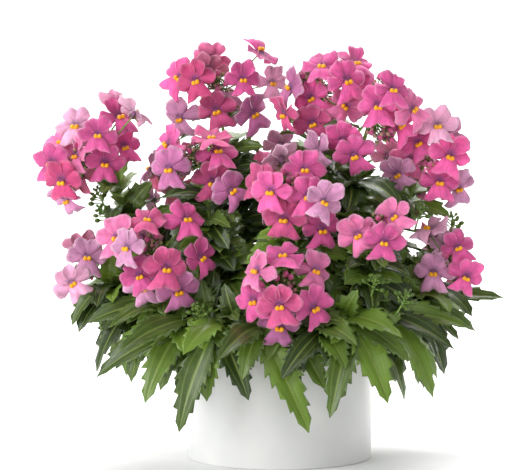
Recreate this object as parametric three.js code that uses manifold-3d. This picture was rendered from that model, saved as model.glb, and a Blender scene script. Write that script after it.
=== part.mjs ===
// A potted nemesia: a bushy bedding plant with toothed leaves and two-lipped blooms in rounded heads,
// standing in the soil of a plain round pot. Millimetres, +Z up, origin at the middle of the pot's foot.
// The plant's best side faces -Y.
import * as THREE from "three";
import { mergeVertices } from "three/addons/utils/BufferGeometryUtils.js";
import Module from "manifold-3d";

const wasm = await Module();
wasm.setup();

// Pot and soil
const POT_RADIUS = 60;
const POT_HEIGHT = 85;
const POT_WALL = 4;
const POT_FLOOR = 5;
const POT_EDGE = 1.2;
const POT_SIDES = 44;
const SOIL_TOP = 75;
const SOIL_MOUND = 3;
const SOIL_SIDES = 24;
const SEAT = 0.3;

// Points of a fused node that lie closer than this to their neighbours' plane are merged
const MERGE_WITHIN = 0.02;

// Stems
const STEM_RADIUS = 1.5;
const SHOOT_RADIUS = 1.3;
const ROOT_DEPTH = 12;
const HOLE_SIDES = 4;
const STEM_CORNERS = [1.03, 0.9, 0.97, 1];
const STRAIGHT_TO = 87;
const STEM_RINGS = 7;
const SHOOT_RINGS = 5;
const HEAD_JOIN = 0.4;

// Blooms and heads
const BLOOM_WIDTH = 27;
const HEAD_REACH = 30;
const HEAD_BULGE = 17;
const CORE_RADIUS = 6.5;
const HEAD_DROP = 15;
const HIDDEN_RING = 17;
const HIDDEN_LIFT = 19;

// Leaves
const LEAF_THICK = 1.3;
const LEAF_FOLD = 0.22;
const NEAR_SIDE = 5;
const FACE_TURN = 1.1;
const LEAF_ARCH = 0.16;
const LEAF_CLIMB = 0.5;
const HUNG_ARCH = 6;
const HEEL_FIRST = 0.94;
const HEEL_STEP = 0.045;
const SHOOT_TEETH = 4;
const FRONT_LEAVES = { from: 0.27, to: 0.8, pairs: 3, length: 43, width: 17, droop: 0.45, teeth: 3 };
const FAR_LEAVES = { from: 0.35, to: 0.75, pairs: 2, length: 43, width: 17, droop: 0.45, teeth: 3 };

// Where along a leaf its teeth start and how far they go on, how far past each point the notch is and
// how deep, and where the midrib is at its full thickness
const TEETH_FROM = 0.24;
const TEETH_SPAN = 0.6;
const TOOTH_RUN = 0.05;
const TOOTH_NOTCH = 0.74;
const RIB_AT = [0.28, 0.64];

// Least distances between the points that stand for leaves, petals, stems and the pot
const LEAF_CLEAR = 6;
const BLOOM_CLEAR = 5;
const PETAL_CLEAR = 5;
const OWN_LEAF_CLEAR = 4.5;
const POT_CLEAR = 3;
const STEM_SAMPLES = 24;
const SHOOT_SAMPLES = 12;
const SAMPLES_IN_HOLE = 3;

// What is tried for a bloom or leaf that meets another: moves in depth, turns round the stem, shares of
// the full length, and pushes out from the pot
const DEPTH_STEPS = [0, -3, 3, -6, 6, -9, 9, -12, 12];
const TURNS = [0, 0.35, -0.35, 0.7, -0.7];
const LENGTHS = [1, 0.75];
const PUSHES = [0, 4, 8, 12, 16];

// The outline of half a bloom: degrees from the top, and the radius there for a bloom 27 mm wide.
// Two upper lobes, a rounded side lobe, then the broad lower lip with its corner.
const TOP_NOTCH = [0, 6.5];
const HALF_OUTLINE = [
  [14, 12.2],
  [38, 12.4],
  [54, 8.6],
  [70, 12.8],
  [98, 13.2],
  [118, 6],
  [148, 15.6],
];
const LIP_NOTCH = [180, 12.6];
const EDGE_AT = 10.5;
const EDGE_SAMPLES = 10;
const BUMP_APART = 1.8;
const BUMP_RISE = 1.9;
const TUBE_LENGTH = 4.5;
const NECK_RADIUS = 1.4;

// Buds in a tuft, how far they stand from its middle, how thick they are and how far behind the tip
const BUDS_IN_TUFT = 2;
const BUD_SPREAD = 3.4;
const BUD_RADIUS = 2;
const BUD_LENGTH = 4.5;

// The way a bloom faces, by the word in its row
const FACING = {
  front: [0, -1, 0.12],
  away: [0, 0.75, 0.35],
  up: [0, -0.45, 1.1],
  over: [0, -0.8, 0.5],
  side: [0, -0.3, 0.2],
  raised: [0, -0.8, 0.75],
  left: [-0.75, -0.8, 0.15],
};

// How far a bloom turns outward from its head's middle, and how much blooms differ in their roll
const TURN_OUT = 0.75;
const SIDE_TURN_OUT = 1.2;
const ROLL_SPAN = 0.3;

// The heads seen from the front: middle, the stem's root and knee, and where each bloom's throat is,
// across and up from the middle, with the way it faces where that isn't forward, and the degrees
// that its lip hangs to the right. Tufts are of buds.
const HEADS = [
  {
    name: "flower_head_far_left",
    middle: [-124, 0, 195],
    root: [-38, 2],
    knee: [-84, 4, 140],
    blooms: [
      [20, 27, "front", 20], [7, 15], [11, -3, "front", -10], [23, 7, "front", 20],
      [-23, -3, "front", -20], [-17, 10, "raised"], [-8, 21], [-7, 2, "left"], [-16, -14],
      [-15, -27, "front", 25], [17, 37, "away"], [30, 30, "away"],
    ],
    tufts: [[-5, 9], [-10, -4]],
    behind: 2,
  },
  {
    name: "flower_head_top_left",
    middle: [-41, 10, 240],
    root: [-18, 14],
    knee: [-30, 15, 170],
    blooms: [
      [-3, 20, "away"], [29, 24, "over"], [-24, 7, "front", -35], [-13, 5, "front", 10], [17, 6],
      [36, 4], [0, -14, "front", 15], [-24, -19, "front", 15], [24, -16, "front", 30],
    ],
    tufts: [[-1, 9], [4, 2]],
    behind: 2,
  },
  {
    name: "flower_head_mid_left",
    middle: [-51, -30, 193],
    root: [-24, -12],
    knee: [-42, -22, 140],
    blooms: [
      [-20, 12, "left", -40], [-19, -3], [7, 15, "up"], [11, 7, "raised"], [8, -12, "front", -10],
      [20, -17, "front", 35],
    ],
    tufts: [[-6, 12], [-11, -1]],
    behind: 1,
  },
  {
    name: "flower_head_middle",
    middle: [12, -50, 168],
    root: [6, -22],
    knee: [10, -34, 125],
    blooms: [
      [-26, 13, "front", -10], [-18, 8], [5, 5], [-10, -9], [14, -16, "front", 10],
      [15, 2, "front", -20], [-12, 28, "away"], [3, 21],
    ],
    tufts: [[-13, 19], [-5, 18]],
    behind: 1,
  },
  {
    name: "flower_head_mid_right",
    middle: [62, -50, 152],
    root: [32, -20],
    knee: [50, -40, 112],
    blooms: [
      [-14, -3, "front", 20], [2, -7], [9, 8, "left", 40],
    ],
    tufts: [[-4, 6]],
    behind: 0,
  },
  {
    name: "flower_head_top",
    middle: [28, 2, 236],
    root: [10, 6],
    knee: [18, 6, 170],
    blooms: [
      [-1, 18, "raised"], [21, 20, "raised"], [-21, 5, "side", -25], [-8, -2, "front", 30],
      [15, 9, "front", 10], [30, 1, "front", 20], [14, -7, "front", -40], [-25, -12, "side"],
      [-7, -18, "front", 25],
    ],
    tufts: [[4, 8], [-15, 10]],
    behind: 2,
  },
  {
    name: "flower_head_top_right",
    middle: [58, -22, 221],
    root: [24, -6],
    knee: [42, -10, 165],
    blooms: [
      [-18, -14, "front", 10], [-11, -23, "front", 25], [-34, -21, "left", 35], [4, 8], [13, 18],
      [26, 6, "front", 30], [18, -4, "front", 35],
    ],
    tufts: [[3, -12], [14, -12], [7, 26]],
    behind: 0,
  },
  {
    name: "flower_head_right",
    middle: [98, 0, 201],
    root: [38, 8],
    knee: [72, 6, 140],
    blooms: [
      [-9, 4, "front", 25], [11, -4, "front", -10], [3, 15], [-22, -16, "front", 20], [-13, -7],
      [5, -21, "raised"], [18, -25, "front", 10],
    ],
    tufts: [[-2, -12], [5, -33]],
    behind: 2,
  },
  {
    name: "flower_head_low_right",
    middle: [112, -20, 127],
    root: [46, -10],
    knee: [84, -16, 102],
    blooms: [
      [1, 12, "front", 20], [6, -6, "front", -15], [-14, -4], [-16, 23, "side"],
    ],
    tufts: [[-4, 6]],
    behind: 1,
  },
  {
    name: "flower_head_front",
    middle: [1, -80, 112],
    root: [2, -44],
    knee: [2, -60, 96],
    blooms: [
      [0, 25, "raised"], [20, 16, "front", -10], [-16, 17, "left"], [-18, -2, "front", 20], [-2, -4],
      [19, -6, "front", 25], [-2, -18],
    ],
    tufts: [[-1, 15], [5, 11]],
    behind: 0,
  },
  {
    name: "flower_head_low_left",
    middle: [-82, -55, 134],
    root: [-36, -26],
    knee: [-57, -42, 106],
    blooms: [
      [-1, 24, "raised"], [23, 24], [-20, 13, "front", -10], [-13, 8, "left"], [-6, -10, "front", 30],
      [11, -5], [32, 0, "front", 35], [18, -20, "front", 10], [-4, -18, "front", 10],
    ],
    tufts: [[2, 15], [-4, 4]],
    behind: 1,
  },
  {
    name: "flower_head_outer_left",
    middle: [-128, -20, 125],
    root: [-48, 2],
    knee: [-92, -8, 104],
    blooms: [
      [5, 8], [-4, -8, "front", 35],
    ],
    tufts: [[4, -1]],
    behind: 1,
  },
];

// The heads on the far side, which grow by the same habit
const FAR_HEADS = [
  { middle: [-68, 55, 176], root: [-26, 30], knee: [-46, 42, 130] },
  { middle: [4, 72, 182], root: [2, 38], knee: [4, 54, 130] },
  { middle: [76, 60, 178], root: [28, 30], knee: [52, 46, 130] },
  { middle: [-92, 66, 118], root: [-40, 22], knee: [-68, 44, 100] },
  { middle: [104, 56, 122], root: [44, 24], knee: [78, 46, 104] },
  { middle: [18, 90, 130], root: [12, 45], knee: [16, 62, 110] },
];
const FAR_BLOOMS = 5;

// Short shoots that reach over the rim at the front. Their leaves spring from the end, and the list
// gives where each one's tip hangs, and its width.
const SHOOTS = [
  {
    root: [-30, -40], over: [-50, -50, 97], end: [-66, -58, 87],
    leaves: [[[-115, -66, 60], 18], [[-84, -86, 46], 18], [[-102, -46, 80], 15], [[-96, -90, 79], 17]],
  },
  {
    root: [-16, -46], over: [-34, -62, 95], end: [-44, -74, 86],
    leaves: [[[-63, -86, 28], 18], [[-46, -78, 46], 14], [[-20, -88, 48], 17], [[-60, -102, 78], 17]],
  },
  {
    root: [-6, -50], over: [-12, -66, 95], end: [-14, -78, 86],
    leaves: [[[-20, -82, 62], 14], [[17, -97, 29], 19], [[-34, -104, 76], 16]],
  },
  {
    root: [14, -48], over: [22, -65, 95], end: [27, -74, 84],
    leaves: [[[40, -90, 68], 15], [[0, -80, 62], 15], [[46, -104, 84], 16]],
  },
  {
    root: [26, -42], over: [38, -58, 97], end: [46, -68, 93],
    leaves: [[[25, -80, 38], 17], [[66, -86, 46], 20], [[80, -70, 70], 16], [[74, -96, 88], 17]],
  },
  {
    root: [38, -32], over: [58, -46, 99], end: [70, -50, 97],
    leaves: [[[96, -58, 46], 17], [[100, -40, 56], 15], [[119, -48, 89], 16], [[108, -70, 78], 16]],
  },
  {
    root: [-44, -14], over: [-64, -26, 101], end: [-76, -32, 103],
    leaves: [[[-122, -46, 92], 17], [[-116, -18, 84], 16], [[-106, -70, 92], 16]],
  },
  {
    root: [50, 6], over: [74, 0, 99], end: [84, -2, 100],
    leaves: [[[128, 2, 82], 17], [[116, -12, 78], 16], [[128, -20, 106], 16]],
  },
];

// The shoots at the far side, spread round the rim
const FAR_SHOOTS = 5;
const FAR_SHOOT_FROM = 20;
const FAR_SHOOT_TO = 160;
const FAR_SHOOT_ROOT = 50;
const FAR_SHOOT_OVER = [66, 97];
const FAR_SHOOT_END = [76, 94];
const SIDE_LIFT = 26;

const PETAL_PINK = 0xd9559f;
const LEAF_GREEN = 0x4f7a2f;
const POT_WHITE = 0xf4f4f2;
const SOIL_BROWN = 0x3a2b20;

// A fixed number from 0 to 1 for each pair of counters, so the plant grows the same each time
function chance(a, b) {
  const x = Math.sin(a * 12.9898 + b * 78.233) * 43758.5453;
  return x - Math.floor(x);
}

function vec(p) {
  return new THREE.Vector3(p[0], p[1], p[2]);
}

// A point along from a to b, pushed off the straight line by bend at the middle
function along(a, b, bend, t) {
  const p = a.clone().lerp(b, t);
  return p.addScaledVector(bend, 4 * t * (1 - t));
}

function solidOf(geometry) {
  const g = geometry.index ? geometry.toNonIndexed() : geometry.clone();
  g.deleteAttribute("normal");
  g.deleteAttribute("uv");
  const merged = mergeVertices(g, 1e-4);
  return new wasm.Manifold(
    new wasm.Mesh({
      numProp: 3,
      vertProperties: new Float32Array(merged.attributes.position.array),
      triVerts: new Uint32Array(merged.index.array),
    }),
  );
}

function solidFrom(points, faces) {
  const g = new THREE.BufferGeometry();
  g.setAttribute("position", new THREE.Float32BufferAttribute(points.flatMap((p) => p.toArray()), 3));
  g.setIndex(faces.flat());
  const made = solidOf(g);
  if (made.volume() > 0) return made;
  g.setIndex(faces.map((f) => [f[0], f[2], f[1]]).flat());
  return solidOf(g);
}

function geometryOf(solid) {
  const m = solid.getMesh();
  const g = new THREE.BufferGeometry();
  g.setAttribute("position", new THREE.Float32BufferAttribute(m.vertProperties, 3));
  g.setIndex(Array.from(m.triVerts));
  g.computeVertexNormals();
  return g;
}

function fuse(solids) {
  let made = solids[0];
  for (const s of solids.slice(1)) made = made.add(s);
  return made;
}

// The largest body of a fused node, so no loose scrap is left beside it
function mainBody(solid) {
  const bodies = solid.decompose();
  bodies.sort((a, b) => b.volume() - a.volume());
  return bodies[0].simplify(MERGE_WITHIN);
}

// A stem along chosen points. Nemesia stems are nearly square, so it has four uneven corners.
function tube(points, radius, rings) {
  const corners = STEM_CORNERS.map((share, i) => {
    const a = (2 * Math.PI * i) / STEM_CORNERS.length;
    return new THREE.Vector2(share * radius * Math.cos(a), share * radius * Math.sin(a));
  });
  const section = new THREE.Shape(corners);
  const path = new THREE.CatmullRomCurve3(points, false, "centripetal");
  const settings = { steps: rings, bevelEnabled: false, extrudePath: path };
  return solidOf(new THREE.ExtrudeGeometry(section, settings));
}

// Sample points already taken in space, each with the name of the node that holds it
const taken = [];

function take(points, owner, leaf = false) {
  for (const p of points) taken.push({ p, owner, leaf });
}

function isClear(points, counts, gap) {
  const limit = gap * gap;
  return !points.some((q) => taken.some((t) => counts(t) && t.p.distanceToSquared(q) < limit));
}

function meetsPot(p) {
  return p.z < POT_HEIGHT + POT_CLEAR && Math.hypot(p.x, p.y) < POT_RADIUS + POT_CLEAR;
}

// A bloom's own axes: out of the throat, towards its right, and towards its top
function bloomAxes(facing, roll) {
  const out = facing.clone().normalize();
  const up = new THREE.Vector3(0, 0, 1).addScaledVector(out, -out.z).normalize();
  const right = up.clone().cross(out).normalize();
  const turn = new THREE.Quaternion().setFromAxisAngle(out, roll);
  return { out, right: right.applyQuaternion(turn), up: up.applyQuaternion(turn) };
}

// The whole outline, with the other half mirrored from the first
function bloomOutline() {
  const other = HALF_OUTLINE.map(([deg, r]) => [360 - deg, r]).reverse();
  return [TOP_NOTCH, ...HALF_OUTLINE, LIP_NOTCH, ...other];
}

// How far forward of the throat a bloom's edge lies: side lobes flare back, the lip's middle bows out
function flare(deg) {
  const a = (deg * Math.PI) / 180;
  return 1.2 * Math.cos(2 * a) + 0.5;
}

// One bloom: lobes and lip about the throat, two raised bumps, and behind them the tube and its stalk,
// which runs to the head's core
function bloomSolid(b) {
  const { out, right, up } = bloomAxes(b.facing, b.roll);
  const k = b.width / BLOOM_WIDTH;
  const at = (x, y, z) => {
    const p = b.throat.clone().addScaledVector(right, x * k).addScaledVector(up, y * k);
    return p.addScaledVector(out, z * k);
  };
  const ring = bloomOutline().map(([deg, r]) => {
    const a = (deg * Math.PI) / 180;
    return at(r * Math.sin(a), r * Math.cos(a), flare(deg));
  });
  const n = ring.length;
  const half = n / 2;
  const points = [...ring, at(BUMP_APART, -1, BUMP_RISE), at(-BUMP_APART, -1, BUMP_RISE)];
  const faces = [];
  for (let i = 0; i < n; i++) faces.push([i, (i + 1) % n, i < half ? n : n + 1]);
  faces.push([half, n + 1, n], [0, n, n + 1]);
  // The back of the lobes narrows to the tube, and the tube to a stalk that thins to the core
  const neck = points.length;
  const heel = at(0, -1, -TUBE_LENGTH);
  const run = b.core.clone().sub(heel).normalize();
  const side = right.clone().addScaledVector(run, -right.dot(run)).normalize();
  const rise = side.clone().cross(run).normalize();
  if (rise.dot(up) < 0) rise.negate();
  for (const deg of [60, 180, 300]) {
    const a = (deg * Math.PI) / 180;
    const q = heel.clone().addScaledVector(side, NECK_RADIUS * Math.sin(a));
    points.push(q.addScaledVector(rise, NECK_RADIUS * Math.cos(a)));
  }
  band(faces, evenRing(0, n), evenRing(neck, 3));
  const end = points.push(b.core.clone().addScaledVector(run, -CORE_RADIUS / 4)) - 1;
  for (let i = 0; i < 3; i++) faces.push([neck + ((i + 1) % 3), neck + i, end]);
  return solidFrom(points, faces);
}

function evenRing(start, count) {
  return Array.from({ length: count }, (_, i) => start + i);
}

// Triangles between two rings of different counts that run the same way round
function band(faces, outer, inner) {
  let i = 0;
  let j = 0;
  const n = outer.length;
  const m = inner.length;
  while (i < n || j < m) {
    const nextOuter = (i + 0.5) / n;
    const nextInner = (j + 1) / m;
    if (j >= m || (i < n && nextOuter <= nextInner)) {
      faces.push([outer[(i + 1) % n], outer[i % n], inner[j % m]]);
      i++;
    } else {
      faces.push([outer[i % n], inner[j % m], inner[(j + 1) % m]]);
      j++;
    }
  }
}

// Points round a bloom's edge and at its throat, which stand for it when others keep clear
function bloomSamples(b) {
  const { out, right, up } = bloomAxes(b.facing, b.roll);
  const r = EDGE_AT * (b.width / BLOOM_WIDTH);
  const list = [b.throat.clone()];
  for (let i = 0; i < EDGE_SAMPLES; i++) {
    const a = (2 * Math.PI * i) / EDGE_SAMPLES;
    const p = b.throat.clone().addScaledVector(right, r * Math.sin(a));
    list.push(p.addScaledVector(up, r * Math.cos(a)).addScaledVector(out, 0.8));
  }
  return list;
}

// Moves a bloom nearer or further until it is clear of other heads and of its neighbours' petals.
// One that can't be is kept only if it must be.
function settleBloom(b, owner, must) {
  const start = b.throat.y;
  let best = null;
  for (const step of DEPTH_STEPS) {
    b.throat.y = start + step;
    const points = bloomSamples(b);
    if (!isClear(points, (t) => t.owner !== owner, BLOOM_CLEAR)) continue;
    best ??= step;
    if (isClear(points, (t) => t.owner === owner, PETAL_CLEAR)) {
      best = step;
      break;
    }
  }
  if (best === null && !must) return false;
  b.throat.y = start + (best ?? 0);
  take(bloomSamples(b), owner);
  return true;
}

// Where a bloom of a head sits and looks, from its row of the list
function bloomOf(head, row, index, seed) {
  const [across, rise, way = "front", lip = 0] = row;
  const q = Math.min(1, Math.hypot(across, rise) / HEAD_REACH);
  const middle = vec(head.middle);
  const depth = HEAD_BULGE * Math.sqrt(1 - q * q) + 5 * (chance(seed, index) - 0.5);
  const sign = way === "away" ? 1 : -1;
  const throat = middle.clone().add(new THREE.Vector3(across, sign * depth, rise));
  const outward = new THREE.Vector3(across, sign * depth * 0.6, rise).divideScalar(HEAD_REACH);
  const facing = vec(FACING[way]).addScaledVector(outward, way === "side" ? SIDE_TURN_OUT : TURN_OUT);
  facing.x += 0.3 * (chance(seed, index + 40) - 0.5);
  facing.z += 0.3 * (chance(seed, index + 80) - 0.5);
  const hangs = ((lip + (way === "over" ? 180 : 0)) * Math.PI) / 180;
  const roll = hangs + ROLL_SPAN * (chance(seed, index + 120) - 0.5);
  const width = BLOOM_WIDTH * (0.9 + 0.16 * chance(seed, index + 160));
  return { throat, facing, roll, width, core: middle };
}

// Blooms on the side of a head that is turned from the front
function bloomsBehind(head, count, seed) {
  const list = [];
  for (let i = 0; i < count; i++) {
    const a = 2 * Math.PI * ((i + 0.5 * chance(seed, 200)) / count) + 0.6;
    const outward = new THREE.Vector3(Math.cos(a), 0.75, 0.75 * Math.sin(a));
    const throat = vec(head.middle).addScaledVector(outward, HIDDEN_RING);
    list.push({
      throat,
      facing: new THREE.Vector3(0.7 * Math.cos(a), 0.8, 0.25 + 0.4 * Math.sin(a)),
      roll: 0.4 * (chance(seed, 210 + i) - 0.5),
      width: BLOOM_WIDTH * (0.88 + 0.14 * chance(seed, 220 + i)),
      core: vec(head.middle),
    });
  }
  return list;
}

// A whole head on the far side: one bloom in the middle of a ring, leaning out from the plant
function farHeadBlooms(head, seed) {
  const middle = vec(head.middle);
  const out = new THREE.Vector3(middle.x, middle.y, 0).normalize();
  out.z = 0.35;
  out.normalize();
  const across = new THREE.Vector3(-out.y, out.x, 0).normalize();
  const rise = out.clone().cross(across).normalize();
  if (rise.z < 0) rise.negate();
  return Array.from({ length: FAR_BLOOMS }, (_, i) => {
    const a = (2 * Math.PI * i) / (FAR_BLOOMS - 1) + seed;
    const r = i === FAR_BLOOMS - 1 ? 0 : 1;
    const round = across.clone().multiplyScalar(r * Math.cos(a)).addScaledVector(rise, r * Math.sin(a));
    const throat = middle.clone().addScaledVector(out, HIDDEN_LIFT - 6 * r);
    return {
      throat: throat.addScaledVector(round, HIDDEN_RING),
      facing: out.clone().addScaledVector(round, 0.5),
      roll: 0.4 * (chance(seed, 310 + i) - 0.5),
      width: BLOOM_WIDTH * (0.88 + 0.14 * chance(seed, 320 + i)),
      core: middle,
    };
  });
}

// A bud is slim from the core to near its tip, where it is thickest
function budSolid(core, tip, side) {
  const axis = tip.clone().sub(core);
  const length = axis.length();
  axis.normalize();
  const across = side.clone().cross(axis).normalize();
  const other = axis.clone().cross(across);
  const belly = core.clone().addScaledVector(axis, Math.max(2, length - BUD_LENGTH));
  const points = [core.clone().addScaledVector(axis, CORE_RADIUS / 2), tip];
  for (let i = 0; i < 4; i++) {
    const a = (Math.PI * i) / 2;
    const p = belly.clone().addScaledVector(across, BUD_RADIUS * Math.cos(a));
    points.push(p.addScaledVector(other, BUD_RADIUS * Math.sin(a)));
  }
  const faces = [];
  for (let i = 0; i < 4; i++) {
    const p = 2 + i;
    const q = 2 + ((i + 1) % 4);
    faces.push([0, q, p], [1, p, q]);
  }
  return solidFrom(points, faces);
}

// A head's buds, in tufts between its open blooms
function budsOf(head, seed) {
  const list = [];
  const middle = vec(head.middle);
  const tufts = head.tufts ?? [[0, 14]];
  const forward = head.tufts ? -1 : 1;
  tufts.forEach(([across, rise], t) => {
    for (let i = 0; i < BUDS_IN_TUFT; i++) {
      const a = (2 * Math.PI * i) / BUDS_IN_TUFT + 6 * chance(seed, 400 + t);
      const q = Math.min(1, Math.hypot(across, rise) / HEAD_REACH);
      const depth = forward * (HEAD_BULGE * 0.85 * Math.sqrt(1 - q * q) + 3);
      const tip = middle.clone().add(
        new THREE.Vector3(across + BUD_SPREAD * Math.cos(a), depth, rise + BUD_SPREAD * Math.sin(a)),
      );
      list.push({ tip, core: middle });
    }
  });
  return list;
}

// A stem stands straight in its hole until it is above the rim
function uprightPart([x, y]) {
  const foot = SOIL_TOP - ROOT_DEPTH + SEAT;
  return [foot, (foot + STRAIGHT_TO) / 2, STRAIGHT_TO].map((z) => new THREE.Vector3(x, y, z));
}

// The stem's course from its root in the soil to just under its head
function stemCourse(root, knee, middle) {
  const top = vec(middle);
  const turn = vec(knee);
  const lean = top.clone().sub(turn).normalize();
  const end = top.clone().addScaledVector(lean, -HEAD_DROP);
  return {
    lean,
    end,
    points: [
      ...uprightPart(root),
      turn,
      end.clone().addScaledVector(lean, -8),
      end.clone().addScaledVector(lean, -HEAD_JOIN),
    ],
  };
}

// The half width of a leaf of width 1 at t along it
function leafHalf(t) {
  return 0.5 * Math.pow(Math.sin(Math.PI * Math.pow(Math.min(1, t), 0.8)), 0.9) + 0.03 * (1 - t);
}

// A leaf's own axes at t: to its side, which is the same all along it, and off its face
function leafAxes(leaf, t) {
  const step = 0.02;
  const a = along(leaf.base, leaf.tip, leaf.bend, Math.max(0, t - step));
  const b = along(leaf.base, leaf.tip, leaf.bend, Math.min(1, t + step));
  const run = b.sub(a).normalize();
  const side = leaf.tip.clone().sub(leaf.base).cross(leaf.face).normalize();
  const face = side.clone().cross(run).normalize();
  return { side, face };
}

function leafPoint(leaf, t, across, off) {
  const { side, face } = leafAxes(leaf, t);
  const lift = leaf.fold * Math.abs(across) + off;
  const p = along(leaf.base, leaf.tip, leaf.bend, t);
  return p.addScaledVector(side, across).addScaledVector(face, lift);
}

// One leaf: toothed edges shared by both faces, and a midrib that is thickest
function leafSolid(leaf) {
  const teeth = leaf.teeth;
  const sideT = [];
  for (let k = 0; k < teeth; k++) {
    const t = TEETH_FROM + (TEETH_SPAN * k) / (teeth - 1);
    sideT.push([t, 1], [t + TOOTH_RUN, TOOTH_NOTCH]);
  }
  const points = [leaf.base.clone(), leaf.tip.clone()];
  const index = { left: [], right: [], front: [], back: [] };
  for (const [t, share] of sideT) {
    const w = leafHalf(t) * leaf.width * share;
    index.left.push([t, points.push(leafPoint(leaf, t, -w, 0)) - 1]);
    index.right.push([t, points.push(leafPoint(leaf, t, w, 0)) - 1]);
  }
  for (const t of RIB_AT) {
    index.front.push([t, points.push(leafPoint(leaf, t, 0, LEAF_THICK / 2)) - 1]);
    index.back.push([t, points.push(leafPoint(leaf, t, 0, -LEAF_THICK / 2)) - 1]);
  }
  const faces = [];
  strip(faces, index.front, index.left, false);
  strip(faces, index.front, index.right, true);
  strip(faces, index.back, index.left, true);
  strip(faces, index.back, index.right, false);
  return solidFrom(points, faces);
}

// Triangles between the midrib and one edge, which share the base and the tip
function strip(faces, rib, edge, flip) {
  const a = [[0, 0], ...rib, [1, 1]];
  const b = [[0, 0], ...edge, [1, 1]];
  let i = 0;
  let j = 0;
  while (i < a.length - 1 || j < b.length - 1) {
    const takeRib = j >= b.length - 1 || (i < a.length - 1 && a[i + 1][0] <= b[j + 1][0]);
    const face = takeRib ? [a[i][1], a[i + 1][1], b[j][1]] : [a[i][1], b[j + 1][1], b[j][1]];
    if (takeRib) i++;
    else j++;
    if (new Set(face).size < 3) continue;
    faces.push(flip ? [face[0], face[2], face[1]] : face);
  }
}

function leafSamples(leaf) {
  const list = [leaf.tip.clone()];
  for (const t of [0.3, 0.48, 0.66, 0.84]) {
    const w = 0.8 * leafHalf(t) * leaf.width;
    for (const across of [-w, 0, w]) list.push(leafPoint(leaf, t, across, 0));
  }
  return list;
}

function makeLeaf(base, tip, width, rise, teeth) {
  const run = tip.clone().sub(base);
  const face = new THREE.Vector3(0, 0, 1);
  const outward = new THREE.Vector3(run.x, run.y, 0);
  // A leaf that hangs shows its upper face outward
  face.addScaledVector(outward.lengthSq() > 1 ? outward.normalize() : new THREE.Vector3(0, -1, 0), 0.5);
  if (tip.z < base.z) face.add(new THREE.Vector3(base.x, base.y, 0).normalize().multiplyScalar(0.6));
  // The leaves of the near side turn their faces a little to the front
  if (tip.y < NEAR_SIDE) face.y -= FACE_TURN;
  face.normalize();
  const lift = face.clone().addScaledVector(run, -face.dot(run) / run.lengthSq()).normalize();
  return { base, tip, width, face, fold: LEAF_FOLD, bend: lift.multiplyScalar(rise), teeth };
}

// Opposite pairs of leaves up a stem, each turned until it is clear of what other nodes hold
function pairedLeaves(owner, path, plan, seed) {
  const list = [];
  for (let k = 0; k < plan.pairs; k++) {
    const t = plan.from + ((plan.to - plan.from) * k) / Math.max(1, plan.pairs - 1);
    const node = path.getPointAt(t);
    const run = path.getTangentAt(t).normalize();
    const sideways = new THREE.Vector3(-node.y, node.x, 0).normalize();
    const first = sideways.addScaledVector(run, -sideways.dot(run)).normalize();
    for (const half of [0, Math.PI]) {
      const base = (k % 2) * (Math.PI / 2) + half + 0.8 * (chance(seed, k + half) - 0.5);
      const length = plan.length * (0.85 + 0.3 * chance(seed + 7, k + half));
      const leaf = clearLeaf(owner, node, run, first, base, length, plan);
      if (!leaf) continue;
      take(leafSamples(leaf), owner, true);
      list.push(leaf);
    }
  }
  return list;
}

// The first try at a leaf that is clear of other nodes and of its own neighbours, or nothing
function clearLeaf(owner, node, run, first, base, length, plan) {
  for (const share of LENGTHS) {
    for (const turn of TURNS) {
      const away = first.clone().applyAxisAngle(run, base + turn);
      const dir = away.addScaledVector(run, LEAF_CLIMB).normalize();
      const reach = length * share;
      const tip = node.clone().addScaledVector(dir, reach);
      tip.z -= plan.droop * reach;
      const leaf = makeLeaf(node.clone(), tip, plan.width * share, LEAF_ARCH * reach, plan.teeth);
      const points = leafSamples(leaf);
      if (points.some(meetsPot)) continue;
      if (!isClear(points, (t) => t.owner !== owner, LEAF_CLEAR)) continue;
      if (isClear(points, (t) => t.owner === owner && t.leaf, OWN_LEAF_CLEAR)) return leaf;
    }
  }
  return null;
}

function mesh(name, solid, colour, roughness) {
  const material = new THREE.MeshStandardMaterial({ color: colour, roughness, metalness: 0 });
  const made = new THREE.Mesh(geometryOf(solid), material);
  made.name = name;
  return made;
}

// A solid turned about the pot's axis from a profile of radius and height
function turned(profile, sides) {
  const curve = profile.map(([r, z]) => new THREE.Vector2(r, z));
  return solidOf(new THREE.LatheGeometry(curve, sides).rotateX(Math.PI / 2));
}

function pot() {
  const r = POT_RADIUS;
  const inner = r - POT_WALL;
  const profile = [
    [0, 0],
    [r - POT_EDGE, 0],
    [r, POT_EDGE],
    [r, POT_HEIGHT],
    [inner, POT_HEIGHT],
    [inner, POT_FLOOR],
    [0, POT_FLOOR],
  ];
  return turned(profile, POT_SIDES);
}

// The soil, a little domed, with a plain hole for each stem
function soil(roots) {
  const r = POT_RADIUS - POT_WALL - SEAT;
  const bottom = POT_FLOOR + SEAT;
  const profile = [
    [0, bottom],
    [r, bottom],
    [r, SOIL_TOP - SOIL_MOUND / 2],
    [r * 0.7, SOIL_TOP + SOIL_MOUND * 0.4],
    [0, SOIL_TOP + SOIL_MOUND * 0.6],
  ];
  let made = turned(profile, SOIL_SIDES);
  const depth = ROOT_DEPTH + 2 * SOIL_MOUND;
  for (const { x, y, radius } of roots) {
    const across = (radius + SEAT) / Math.cos(Math.PI / HOLE_SIDES);
    const hole = new THREE.CylinderGeometry(across, across, depth, HOLE_SIDES)
      .rotateX(Math.PI / 2)
      .translate(x, y, SOIL_TOP - ROOT_DEPTH + depth / 2);
    made = made.subtract(solidOf(hole));
  }
  return mainBody(made);
}

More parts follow.
